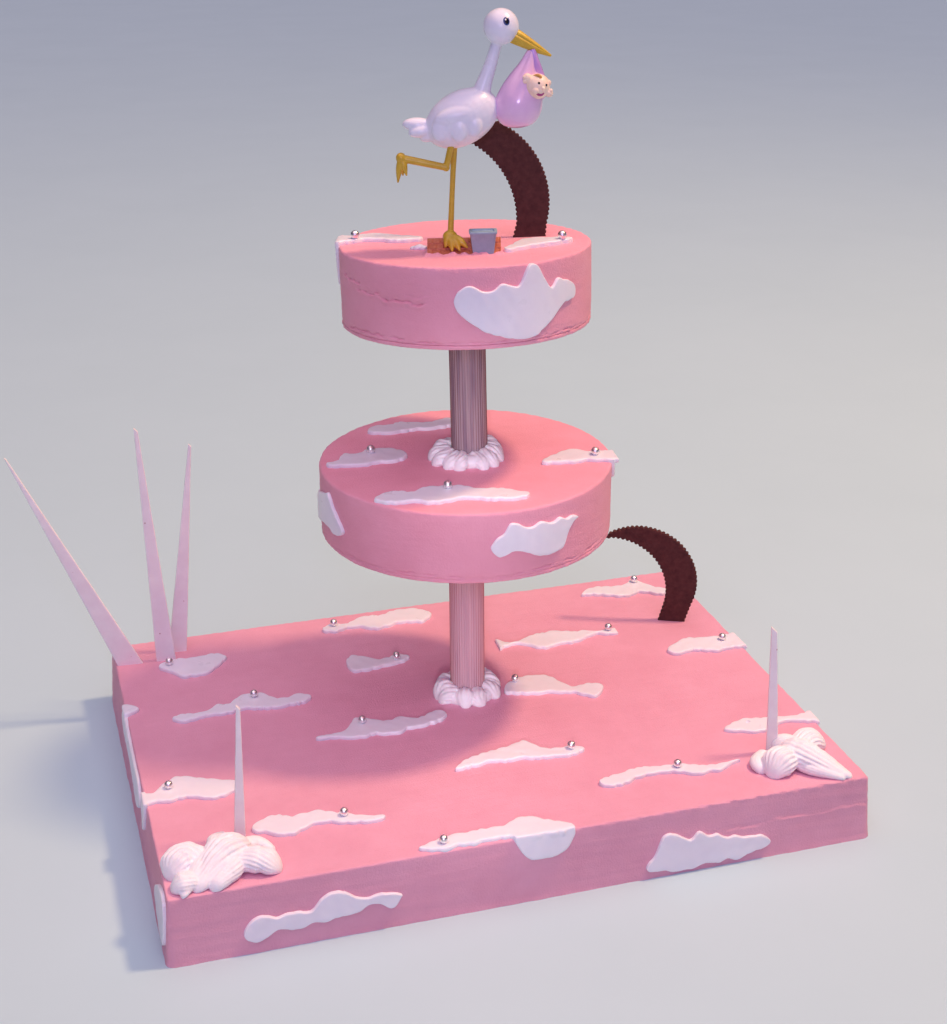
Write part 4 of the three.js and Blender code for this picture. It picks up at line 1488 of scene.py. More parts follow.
CLOUDS = {
    Face.BASE_TOP: (
        Cloud((-246, 150), (-183, 150), (3, 8, 10, 9, 8, 10, 10, 3), (4, 12, 25, 26, 26, 22, 12, 1),
              pearl=(-236, 150)),
        Cloud((-87, 178), (22, 181), (4, 9, 5, 12, 15, 12, 17, 18, 15, 3), (4, 7, 3, 5, 13, 12, 8, 10, 13, 3),
              pearl=(-75, 182)),
        Cloud((-80, 97), (-21, 101), (12, 21, 14, 5, 5, 8, 2), (8, 10, 10, 9, 8, 7, 2), pearl=(-34, 99)),
        Cloud((-246, 51), (-123, 54), (3, 5, 3, 4, 12, 10, 20, 22, 20, 7, 5, 8, 3),
              (3, 8, 6, 4, 5, 5, 2, 5, 8, 9, 8, 8, 3), pearl=(-172, 67)),
        Cloud((-134, -18), (-17, -12), (2, 2, 2, 6, 20, 18, 10, 7, 10, 3, 4, 9, 6),
              (2, 3, 6, 10, 12, 10, 14, 16, 11, 12, 10, 8, 2), pearl=(-91, -6)),
        Cloud((176, 177), (262, 163), (2, 12, 15, 14, 14, 17, 28, 15, 6, 1), (1, 1, 3, 6, 9, 8, 2, 4, 10, 7),
              pearl=(236, 187)),
        Cloud((64, 100), (181, 93), (10, 1, 1, 6, 11, 12, 14, 10, 7, 7, 3, 4, 5),
              (10, 5, 3, 10, 17, 16, 12, 13, 10, 5, 1, 5, 5), pearl=(173, 95), blunt=SQUARE),
        Cloud((211, 40), (EDGE_X, 42), (3, 10, 15, 18, 15, 14, 12, 13, 14), (4, 9, 6, 7, 12, 15, 13, 14, 14),
              pearl=(268, 44), blunt=(False, True), fold=Face.BASE_RIGHT,
              flap=flap(28, 55, BASE.height, (4, 11, 13, 9, 4))),
        Cloud((43, 13), (130, -6), (9, 17, 24, 25, 26, 21, 9, 2, 5, 7, 3),
              (4, 5, 6, 7, 6, 6, 8, 8, 14, 16, 4), pearl=(57, 25)),
        Cloud((-35, -100), (77, -101), (1, 11, 15, 18, 20, 23, 26, 11, 7, 7, 3),
              (2, 0, -1, -3, 0, -1, 2, 4, 6, 6, 2), pearl=(66, -99)),
        Cloud((201, -107), (EDGE_X, -110), (2, 8, 12, 11, 9, 8, 6, 7, 11), (2, 6, 10, 11, 6, 1, 2, 6, 9),
              dent=(225, -103), blunt=(False, True), fold=Face.BASE_RIGHT,
              flap=flap(-117, -100, BASE.height, (3, 9, 9, 3))),
        Cloud((70, -155), (193, -157), (4, 7, 9, 12, 13, 11, 10, 9, 5, 1, 0, 1, 2),
              (4, 7, 6, 1, -1, -1, 0, 4, 10, 8, 9, 3, -1), pearl=(139, -152)),
        Cloud((-EDGE_X, -68), (-205, -71), (6, 6, 18, 25, 22, 17, 13, 9, 3), (9, 9, 10, 8, 8, 14, 14, 10, 3),
              pearl=(-263, -61), blunt=(True, False), fold=Face.BASE_LEFT,
              flap=flap(60, 80, BASE.height, (5, 16, 25, 22, 6))),
        Cloud((-209, -137), (-106, -150), (5, 13, 16, 12, 15, 17, 13, 9, 5, 2, 2),
              (4, 6, 11, 12, 5, 0, 1, 4, 5, 6, 3), pearl=(-137, -141)),
        Cloud((-93, -200), (30, -204), (1, 5, 9, 11, 11, 12, 12, 13, 19, 20, 13, 7, 1),
              (1, 5, 6, 4, 5, 4, 3, 4, FOLD, FOLD, FOLD, FOLD, 3), pearl=(-73, -200), fold=Face.BASE_FRONT,
              flap=flap(-19, 30, BASE.height, (2, 13, 19, 20, 20, 20, 18, 14, 3))),
    ),
    Face.BASE_FRONT: (
        Cloud((-230, 17), (-109, 27), (4, 11, 12, 8, 9, 8, 6, 14, 17, 15, 8, 5, 6, 4, 1),
              (4, 8, 6, 2, 5, 6, 4, 6, 5, 5, 5, 1, 3, 9, 1)),
        Cloud((89, 10), (196, 15), (3, 10, 25, 26, 22, 17, 23, 17, 17, 12, 12, 9, 8, 7, 2),
              (3, 4, 5, 8, 8, 9, 7, 7, 9, 7, 10, 8, 6, 5, 3)),
    ),
    Face.BASE_LEFT: (
        Cloud((-90, 47), (50, 43), (6, 9, 8, 8, 9, 9, 10, 4), (2, 9, 8, 8, 10, 15, 17, 5), fold=Face.BASE_TOP,
              flap=Cloud((-EDGE_X, 70), (-EDGE_X, 88), (0, 0, 0, 0), (5, 14, 12, 5), blunt=SQUARE)),
        Cloud((152, 30), (205, 31), (3, 12, 18, 21, 18), (3, 11, 16, 19, 16)),
    ),
    Face.BASE_RIGHT: (
        Cloud((-62, 25), (44, 22), (3, 9, 7, 14, 17, 9, 11, 7, 2), (2, 8, 6, 9, 8, 11, 7, 8, 2)),
    ),
    Face.BASE_BACK: (
        Cloud((-186, 25), (-72, 21), (3, 8, 14, 11, 15, 9, 6, 8, 2), (2, 8, 6, 9, 9, 5, 8, 6, 2)),
        Cloud((58, 24), (176, 29), (2, 8, 6, 13, 16, 13, 6, 7, 2), (3, 9, 12, 7, 8, 10, 6, 8, 2)),
    ),
    Face.MIDDLE_TOP: (
        Cloud((-96, -72), (25, -96), (4, 13, 15, 12, 21, 22, 22, 21, 14, 13, 12, 6, 2),
              (2, 7, 8, 5, 10, 10, 7, 3, 6, 9, 9, 9, 4), pearl=(-35, -69)),
        Cloud((-116, 14), (-46, 18), (4, 4, 18, 14, 20, 20, 17, 6), (4, 7, 9, 12, 10, 12, 11, 5),
              pearl=(-75, 27)),
        Cloud((-65, 81), (20, 83), (4, 11, 9, 13, 9, 5, 6, 10, 4), (3, 8, 10, 9, 8, 10, 10, 8, 3)),
        Cloud((56, -34), (120, -42), (3, 11, 18, 24, 21, 15, 16, 12), (3, 3, 4, 5, 2, 4, 6, 6),
              pearl=(103, -34), blunt=(False, True), fold=Face.MIDDLE_SIDE,
              flap=flap(178, 200, MIDDLE.height, (5, 13, 17, 12, 4))),
    ),
    Face.MIDDLE_SIDE: (
        Cloud((19, 27), (98, 38), (2, 7, 10, 17, 15, 10, 9, 11, 8, 6, 8, 4, 4, 2),
              (4, 9, 8, 7, 9, 13, 17, 19, 20, 20, 18, 8, 2, 0)),
        Cloud((-206, 22), (-114, 21), (3, 4, 5, 7, 11, 15, 18, 20, 23, 25, 16, 9, 2),
              (6, 13, 15, 14, 12, 10, 8, 6, 5, 5, 7, 6, 3)),
        Cloud((320, 28), (420, 24), (2, 8, 14, 9, 15, 12, 7, 8, 2), (2, 7, 12, 9, 11, 8, 10, 6, 2)),
    ),
    Face.TOP_TOP: (
        Cloud((-97, 38), (-30, 16), (10, 13, 19, 20, 13, 8, 4), (14, 9, 2, 3, 8, 7, 4), pearl=(-83, 30),
              blunt=(True, False), fold=Face.TOP_SIDE,
              flap=flap(-183, -153, TOP.height, (6, 24, 35, 32, 20, 5))),
        Cloud((17, -55), (80, -31), (5, 9, 16, 22, 19, 11, 3), (3, 2, 1, 2, 3, 4, 3), pearl=(70, -36)),
    ),
    Face.TOP_SIDE: (
        Cloud((-9, 34), (98, 31), (5, 11, 12, 8, 8, 13, 12, 11, 25, 26, 15, 7, 13, 11, 9, 4),
              (4, 12, 17, 22, 25, 27, 29, 30, 30, 29, 24, 19, 12, 7, 6, 4)),
        Cloud((262, 25), (352, 31), (3, 11, 15, 9, 13, 10, 8, 2), (2, 9, 13, 11, 12, 8, 9, 2)),
    ),
}


@dataclass(frozen=True)
class CloudCover(Part):
    """All clouds of the cake and the pearls on them."""

    clouds: dict[Face, tuple[Cloud, ...]]
    seed: int = 200
    seed_step: int = 10

    def build(self) -> Pieces:
        """Make and dress every cloud.

        Returns:
            One piece for each cloud, and one for the pearls.
        """
        made, centres = [], []
        for face, cuts in self.clouds.items():
            for number, cut in enumerate(cuts, 1):
                seed = self.seed + self.seed_step * len(made)
                node = f"cloud_{face.value}_{number}"
                made.append(make_piece(f"rolled_{node}", cut.shape(face, seed), WHITE_ICING, [node]))
                if cut.pearl:
                    centres.append(cut.pearl_centre(face, cut.pearl))
        return made + SugarPearls(tuple(centres)).build()


@dataclass(frozen=True)
class IcingScraps(Part):
    """Scraps of rolled icing left beside the stork's roof, from the middle of the top tier's top."""

    lumps: tuple[Egg, ...] = (
        Egg((-42.6, -16.0, 1.2), (4.4, 3.4, 2.4), 12),
        Egg((-39.4, -18.8, 1.0), (3.2, 2.8, 2.2), 12),
        Egg((-46.2, -13.4, 0.6), (2.8, 2.4, 1.6), 12),
    )
    voxel: float = 0.4

    def build(self) -> Pieces:
        """The scraps, pressed together.

        Returns:
            The scraps.
        """
        floor = TOP.height + TOP.lift
        shapes = [replace(lump, at=(*lump.at[:2], floor + lump.at[2])).shape() for lump in self.lumps]
        return [make_piece("icing_scraps", melted(shapes, self.voxel, 2).placed(TOP.place), WHITE_ICING)]


# Piped cream


@dataclass(frozen=True)
class Nozzle:
    """A star nozzle, which leaves rounded ridges with narrow grooves between them.

    Grooves, lift, end and waver are shares of the stroke's radius. The twist is an angle along the stroke.
    """

    ridges: int = 17
    groove: float = 0.23
    groove_bend: float = 1.4
    lift: float = 0.6
    squash: float = 0.76
    twist: float = 0.8
    twist_spread: Spot = (0.5, 1.5)
    waver: Swell = Swell(0.05, 9.0)
    end: float = 0.95
    steps: int = 54
    around: int = 96
    sunk: float = 0.8

    def stroke(self, path: Sequence[Place], radii: Sequence[float], seed: int) -> Shape:
        """A ridged stroke of cream that lies on z = 0.

        Args:
            path: points that its core follows.
            radii: its radius at each point.
            seed: sets how it twists and wavers.

        Returns:
            The closed stroke.
        """
        draw = np.random.default_rng(seed)
        share = eased(self.steps)
        core = smooth_through(path, share)
        step = np.linalg.norm(np.diff(core, axis=0), axis=1)
        run = np.concatenate([[0], np.cumsum(step)])
        radius = smooth_through(radii, share)
        for end, distance in ((0, run), (-1, run[-1] - run)):
            full = clipped(distance / (self.end * radius[end]))
            radius = radius * np.sqrt(1 - (1 - full) ** 2)
        along = np.gradient(core, axis=0)
        side = np.column_stack([along[:, 1], -along[:, 0]])
        side /= np.maximum(np.linalg.norm(side, axis=1, keepdims=True), TINY)
        turn = full_turn(self.around)
        start = draw.uniform(0, math.tau)
        phase = start + self.twist * draw.uniform(*self.twist_spread) * share[:, None]
        ridge = np.abs(np.sin(self.ridges * (turn + phase) / 2))
        reach = radius[:, None] * (1 - self.groove * (1 - ridge) ** self.groove_bend)
        reach = reach * (1 + self.waver.at(core, seed + 1))[:, None]
        sideways = reach * np.cos(turn)
        height = core[:, 2:] + self.squash * (self.lift * radius[:, None] + reach * np.sin(turn))
        flat = core[:, None, :2] + sideways[..., None] * side[:, None]
        return loft(np.concatenate([flat, np.maximum(height, -self.sunk)[..., None]], -1))


@dataclass(frozen=True)
class CreamHeap(Part):
    """A heap of piped strokes at a front corner of the base tier, as paths and radii."""

    side: str
    strokes: tuple[tuple[Places, Numbers], ...]
    seed: int
    seed_step: int = 5
    voxel: float = 0.78
    nozzle: Nozzle = Nozzle()

    def build(self) -> Pieces:
        """Pipe the strokes and run them together where they touch.

        Returns:
            The heap.
        """
        shapes = [
            self.nozzle.stroke(path, radii, self.seed + self.seed_step * i)
            for i, (path, radii) in enumerate(self.strokes)
        ]
        heap = melted(shapes, self.voxel, 1).placed(Matrix.Translation((0, 0, BASE.height)))
        return [make_piece(f"piped_heap_{self.side}", heap, CREAM, [f"cream_front_{self.side}"], SOFT_EDGE)]


@dataclass(frozen=True)
class ShellRing(Part):
    """A ring of piped shells round a column's foot, each drawn from the column outwards.

    A shell strays by a share of the distance to the next, and is more or less full. It starts behind the
    ring's inside, sways, and ends short of the outside by a share of its size. Heights are shares of the
    ring's. A bead of cream lies behind the shells and follows part of their drift.
    """

    name: str
    place: Matrix
    shells: int
    inner: float
    outer: float
    height: float
    drift: Spot
    seed: int
    seed_step: int = 3
    stray: float = 0.27
    fullness: Spot = (0.82, 1.22)
    radii: Place = (0.75, 1.1, 1.0)
    end_stray: Spot = (-3.4, 0.8)
    end_share: float = 0.3
    root: float = 3.5
    root_sway: float = 4.0
    belly: float = 2.0
    end_sway: float = 3.0
    root_height: float = 0.5
    belly_height: Spot = (0.2, 0.42)
    end_height: float = 0.05
    bead_share: float = 3.2
    bead_middle: float = 0.3
    bead_height: float = 0.45
    bead_drift: float = 0.6
    bead_mesh: tuple[int, int] = (72, 20)
    voxel: float = 0.7
    nozzle: Nozzle = Nozzle(ridges=9, groove=0.19, twist=0.9, steps=34, around=88, lift=0.35, squash=0.9)

    def build(self) -> Pieces:
        """Pipe the shells and the bead of cream behind them, and run them together.

        Returns:
            The ring.
        """
        draw = np.random.default_rng(self.seed)
        shapes = [self.bead()]
        middle = (self.inner + self.outer) / 2
        half = math.pi * middle / self.shells
        for i in range(self.shells):
            turn = math.tau * (i + draw.uniform(-self.stray, self.stray)) / self.shells
            size = half * draw.uniform(*self.fullness)
            end = self.outer + draw.uniform(*self.end_stray) - self.end_share * size
            path = [
                (self.inner - self.root, draw.uniform(-self.root_sway, self.root_sway),
                 self.root_height * self.height),
                (middle - self.belly, 0, draw.uniform(*self.belly_height) * self.height),
                (end, draw.uniform(-self.end_sway, self.end_sway), self.end_height * self.height),
            ]
            radii = [share * size for share in self.radii]
            shell = self.nozzle.stroke(path, radii, self.seed + self.seed_step * i)
            shapes.append(shell.placed(standing((*self.drift, 0), turn)))
        ring = melted(shapes, self.voxel, 1).placed(self.place)
        return [make_piece(f"piped_{self.name}", ring, CREAM, [self.name], SOFT_EDGE)]

    def bead(self) -> Shape:
        """A plain ring of cream that fills the gaps between the shells' roots.

        Returns:
            The closed ring.
        """
        turn, bend = full_turn(self.bead_mesh[0])[:, None], full_turn(self.bead_mesh[1])
        half = (self.outer - self.inner) / self.bead_share
        reach = self.inner + half + half * np.cos(bend)
        rise = self.bead_middle * self.height + self.bead_height * self.height * np.sin(bend)
        rings = spun(reach, np.maximum(rise, -self.nozzle.sunk), turn)
        return loft(rings + [self.bead_drift * self.drift[0], self.bead_drift * self.drift[1], 0], loop=True)


LEFT_HEAP = CreamHeap("left", (
    (((-246, -176, 2), (-264, -170, 3), (-279, -183, 0)), (8, 14, 12)),
    (((-251, -173, 8), (-257, -188, 5), (-272, -208, 0)), (5, 7, 3)),
    (((-217, -158, 3), (-237, -177, 3), (-262, -204, 0)), (11, 16, 5)),
    (((-226, -174, 3), (-234, -190, 2), (-250, -206, 0)), (9, 11, 6)),
    (((-234, -183, 2), (-214, -187, 3), (-196, -195, 0)), (9, 12, 11)),
    (((-240, -168, 1), (-239, -152, 3), (-230, -138, 2)), (7, 7, 3)),
    (((-222, -164, 2), (-208, -160, 2), (-197, -170, 0)), (8, 6, 3)),
    (((-256, -191, 0), (-268, -196, 1), (-279, -198, 0)), (7, 10, 8)),
), seed=400)
RIGHT_HEAP = CreamHeap("right", (
    (((239, -171, 3), (220, -177, 3), (206, -187, 0)), (9, 14, 13)),
    (((226, -159, 5), (243, -179, 3), (269, -206, 0)), (13, 14, 3)),
    (((236, -168, 3), (254, -155, 3), (271, -152, 0)), (8, 13, 12)),
    (((222, -157, 2), (234, -155, 4), (246, -163, 2)), (8, 11, 8)),
    (((203, -179, 0), (204, -166, 1), (218, -154, 1)), (6, 7, 6)),
    (((232, -180, 2), (246, -192, 1), (263, -206, 0)), (7, 8, 3)),
), seed=440)


# Columns


@dataclass(frozen=True)
class FlutedColumn(Part):
    """A clear tube with fine flutes down its outside."""

    name: str
    height: float
    place: Matrix
    finish: Finish
    radius: float = 15.2
    flutes: int = 40
    flute_depth: float = 0.4
    flute_points: int = 8
    wall: float = 2.4

    def build(self) -> Pieces:
        """Make the tube, closed at both ends.

        Returns:
            The column.
        """
        turn = full_turn(self.flute_points * self.flutes)[:, None]
        outer = self.radius - self.flute_depth * (1 - np.abs(np.sin(self.flutes * turn / 2)))
        inner = np.full_like(outer, self.radius - self.wall)
        level = np.array([0, self.height, self.height, 0])
        rings = spun(np.hstack([inner, inner, outer, outer]), level, turn)
        shape = loft(rings, loop=True).placed(self.place)
        return [make_piece(f"fluted_{self.name}", shape, self.finish, [self.name])]


COLUMN_LIFT = FlutedColumn.radius * math.sin(TOP_LEAN) + GAP
COLUMN_FOOT = Matrix.Translation((*COLUMN_PLACE, BASE.height))
LOWER_COLUMN = FlutedColumn("lower_column", MIDDLE_BOTTOM - MIDDLE.card - BASE.height, COLUMN_FOOT, ACRYLIC)
# The upper tube takes the acrylic's copy with painted shade and a painted bluish reflection.
UPPER_COLUMN = FlutedColumn(
    "upper_column", TOP_RISE - TOP.card - COLUMN_LIFT - 2 * GAP,
    LEANING @ Matrix.Translation((0, 0, COLUMN_LIFT)), replace(PAINTED_SHADE_ACRYLIC, lean=(-TOP_LEAN, 0.0, 0.0)),
)
LOWER_SHELLS = ShellRing("lower_shells", COLUMN_FOOT, 10, 15.4, 34, 13, (-0.5, 0), seed=500)
UPPER_SHELLS = ShellRing(
    "upper_shells", Matrix.Translation(LEANING.translation), 13, 15.4, 36, 13, (-2.2, 0.6), seed=540,
)


# Sugar blades and chocolate crescents


@dataclass(frozen=True)
class SugarBlade(Part):
    """A tall flat blade of sugar, from its foot on the base tier to its tip.

    Its lean is how far the tip lies to the side and above the foot, and its width that of foot and tip. The
    edges waver by a depth that fades at the tip, with swells of a size on the left and on the right.
    """

    name: str
    at: Spot
    lean: Spot
    width: Spot
    turn: float
    seed: int
    thickness: float = 3.6
    rounding: float = 0.9
    sunk: float = 2.0
    stations: int = 60
    waver: float = 0.08
    waver_sizes: Spot = (45.0, 38.0)
    waver_fade: float = 4.0
    run: float = 200.0
    bow: Swell = Swell(0.5, 130.0)

    def build(self) -> Pieces:
        """Make the blade, its edges a little uneven as if cut by hand.

        Returns:
            The blade.
        """
        foot, tip = (w / 2 for w in self.width)
        across, up = self.lean
        share = np.linspace(0, 1, self.stations)[:, None]
        left = np.array([-foot, -self.sunk]) * (1 - share) + np.array([across - tip, up]) * share
        right = np.array([foot, -self.sunk]) * (1 - share) + np.array([across + tip, up - 2 * tip]) * share
        fade = np.minimum(1, self.waver_fade * (1 - share)) * self.waver
        for i, edge in enumerate((left, right)):
            edge[:, 0] += fade[:, 0] * ripple(share * self.run, self.waver_sizes[i], self.seed + i)
        shape = blade(left, right, self.thickness, self.rounding)
        shape.points[:, 1] += self.bow.at(shape.points[:, 2:], self.seed + 2)
        place = standing((*self.at, BASE.height), math.radians(self.turn))
        return [make_piece(f"sugar_{self.name}", shape.placed(place), SUGAR, [self.name])]


SUGAR_BLADES = (
    SugarBlade("shard_back_left", (-269, 168), (-89, 212), (23, 2), -3, seed=600),
    SugarBlade("shard_back_middle", (-237, 166), (-9, 229), (18, 3.5), -4, seed=610),
    SugarBlade("shard_back_right", (-225, 180), (26, 205), (17, 2.4), -5, seed=620),
    SugarBlade("shard_front_left", (-219.3, -143), (5.5, 115), (9, 3), -5, seed=630),
    SugarBlade("shard_front_right", (225.3, -149), (-5, 116), (10, 5), -20, seed=640),
)


@dataclass(frozen=True)
class ChocolateCrescent(Part):
    """A standing crescent with scalloped rims, in the x-z plane from the middle of its foot.

    The circles of its two rims are x, z and radius. The foot is its left and right end. The arcs start at a
    height and stop at an x, from where they run to the point, near which the scallops fade.
    """

    name: str
    outer: Place
    inner: Place
    foot: Spot
    foot_rise: float
    stop: float
    tip: Spot
    place: Matrix
    seed: int
    thickness: float = 5.0
    rounding: float = 0.8
    sunk: float = 2.0
    scallop: float = 4.4
    scallop_depth: float = 1.7
    scallop_middle: float = 0.45
    scallop_fade: float = 10.0
    bow: Swell = Swell(0.25, 26.0)
    arc_points: int = 120
    stations: int = 330

    def rim(self, circle: Place, foot: float, outwards: float) -> Array:
        """One scalloped rim from the foot to the point.

        Args:
            circle: the rim's circle.
            foot: where it starts on the ground.
            outwards: 1 for scallops that point right of the way up, -1 for left.

        Returns:
            Its points as x and z.
        """
        x, z, radius = circle
        start = math.asin((self.foot_rise - z) / radius)
        stop = math.acos((self.stop - x) / radius)
        turn = np.linspace(start, stop, self.arc_points)
        arc = np.column_stack([x + radius * np.cos(turn), z + radius * np.sin(turn)])
        path = np.vstack([[(foot, -self.sunk)], [(foot, 0.0)], arc, [self.tip]])
        run = np.concatenate([[0], np.cumsum(np.linalg.norm(np.diff(path, axis=0), axis=1))])
        even = np.linspace(0, run[-1], self.stations)
        line = np.column_stack([np.interp(even, run, path[:, k]) for k in (0, 1)])
        way = unit(np.gradient(line, axis=0))
        normal = outwards * np.column_stack([way[:, 1], -way[:, 0]])
        teeth = np.abs(np.sin(math.pi * even / self.scallop)) - self.scallop_middle
        fade = clipped((run[-1] - even) / self.scallop_fade)
        return line + normal * (self.scallop_depth * teeth * fade)[:, None]

    def build(self) -> Pieces:
        """Make the crescent as a blade between its two rims.

        Returns:
            The crescent.
        """
        inner = self.rim(self.inner, self.foot[0], -1)
        outer = self.rim(self.outer, self.foot[1], 1)
        shape = blade(inner, outer, self.thickness, self.rounding)
        shape.points[:, 1] += self.bow.at(shape.points, self.seed)
        return [make_piece(f"chocolate_{self.name}", shape.placed(self.place), CHOCOLATE, [self.name])]


BASE_CRESCENT_SPOT = (240.9, 102.4)
BASE_CRESCENT_TURN = math.radians(-24)
TOP_CRESCENT_SPOT = (55.0, 1.0)
CRESCENTS = (
    ChocolateCrescent(
        "base_crescent", (-33.4, 40.5, 55.8), (-60.1, 30.7, 54.5), (-11.8, 12.2), 18, -58, (-70, 83),
        standing((*BASE_CRESCENT_SPOT, BASE.height), BASE_CRESCENT_TURN), seed=700,
    ),
    ChocolateCrescent(
        "top_crescent", (-53.6, 28.3, 69.5), (-80.2, 14.6, 70.2), (-12.8, 12.6), 10, -62, (-78, 86),
        TOP.place @ standing((*TOP_CRESCENT_SPOT, TOP.height + GAP), FACING), seed=710, scallop=3.7,
        scallop_depth=1.3,
    ),
)


# The stork on its roof, facing +X, from the middle of the roof's foot


STORK_PLACE = TOP.place @ standing((*STORK_SPOT, TOP.height + GAP), FACING)


def moulded(parts: Sequence[tuple[str, Shape, Finish, Sequence[str]]]) -> Pieces:
    """Make pieces of the moulded figure, in the stork's place.

    Args:
        parts: a name, a shape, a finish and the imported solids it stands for, for each.

    Returns:
        The pieces.
    """
    return [
        make_piece(name, shape.placed(STORK_PLACE), finish, nodes, SOFT_EDGE)
        for name, shape, finish, nodes in parts
    ]


def painted_dot(ball: Place, radius: float, at: Place, size: Spot, lift: float) -> Shape:
    """A thin oval of paint on a ball.

    Args:
        ball: the ball's middle.
        radius: the ball's radius.
        at: a point that the dot's middle lies towards.
        size: half the dot's width and height.
        lift: how thick the paint is.

    Returns:
        The closed dot.
    """
    out = Vector(at) - Vector(ball)
    out.normalize()
    across = Vector((0, 0, 1)).cross(out).normalized()
    up = out.cross(across)
    turn = full_turn(32)
    sunk = -0.6
    rings = []
    for share, off in ((1, sunk), (1, 0.4 * lift), (0.94, 0.8 * lift), (0.7, lift), (0.4, lift), (0, lift)):
        flat = np.outer(share * size[0] * np.cos(turn), across) + np.outer(share * size[1] * np.sin(turn), up)
        rings.append(np.array(ball) + (radius + off) * unit(np.array(out) * radius + flat))
    return loft(np.array(rings))


@dataclass(frozen=True)
class PaintedEye:
    """One layer of the stork's eyes: its piece, its paint, half its size, its thickness and its shift."""

    name: str
    paint: Finish
    size: Spot
    lift: float
    shift: Spot


@dataclass(frozen=True)
class StorkFoot:
    """A foot: a round knuckle, the tips of its toes and how thick they are."""

    knuckle: Egg
    toes: Places
    thick: float
    tip: float = 0.6
    bend_share: float = 0.55
    bend_lift: float = 1.6

    def shapes(self) -> list[Shape]:
        """The knuckle and its pointed toes.

        Returns:
            One shape for each.
        """
        forms = [self.knuckle.shape()]
        start = np.array(self.knuckle.at)
        for toe in self.toes:
            end = np.array(toe)
            bend = start + self.bend_share * (end - start) + np.array([0, 0, self.bend_lift])
            forms.append(Bar((start, bend, end), (self.thick, self.thick, self.tip), steps=16).shape())
        return forms


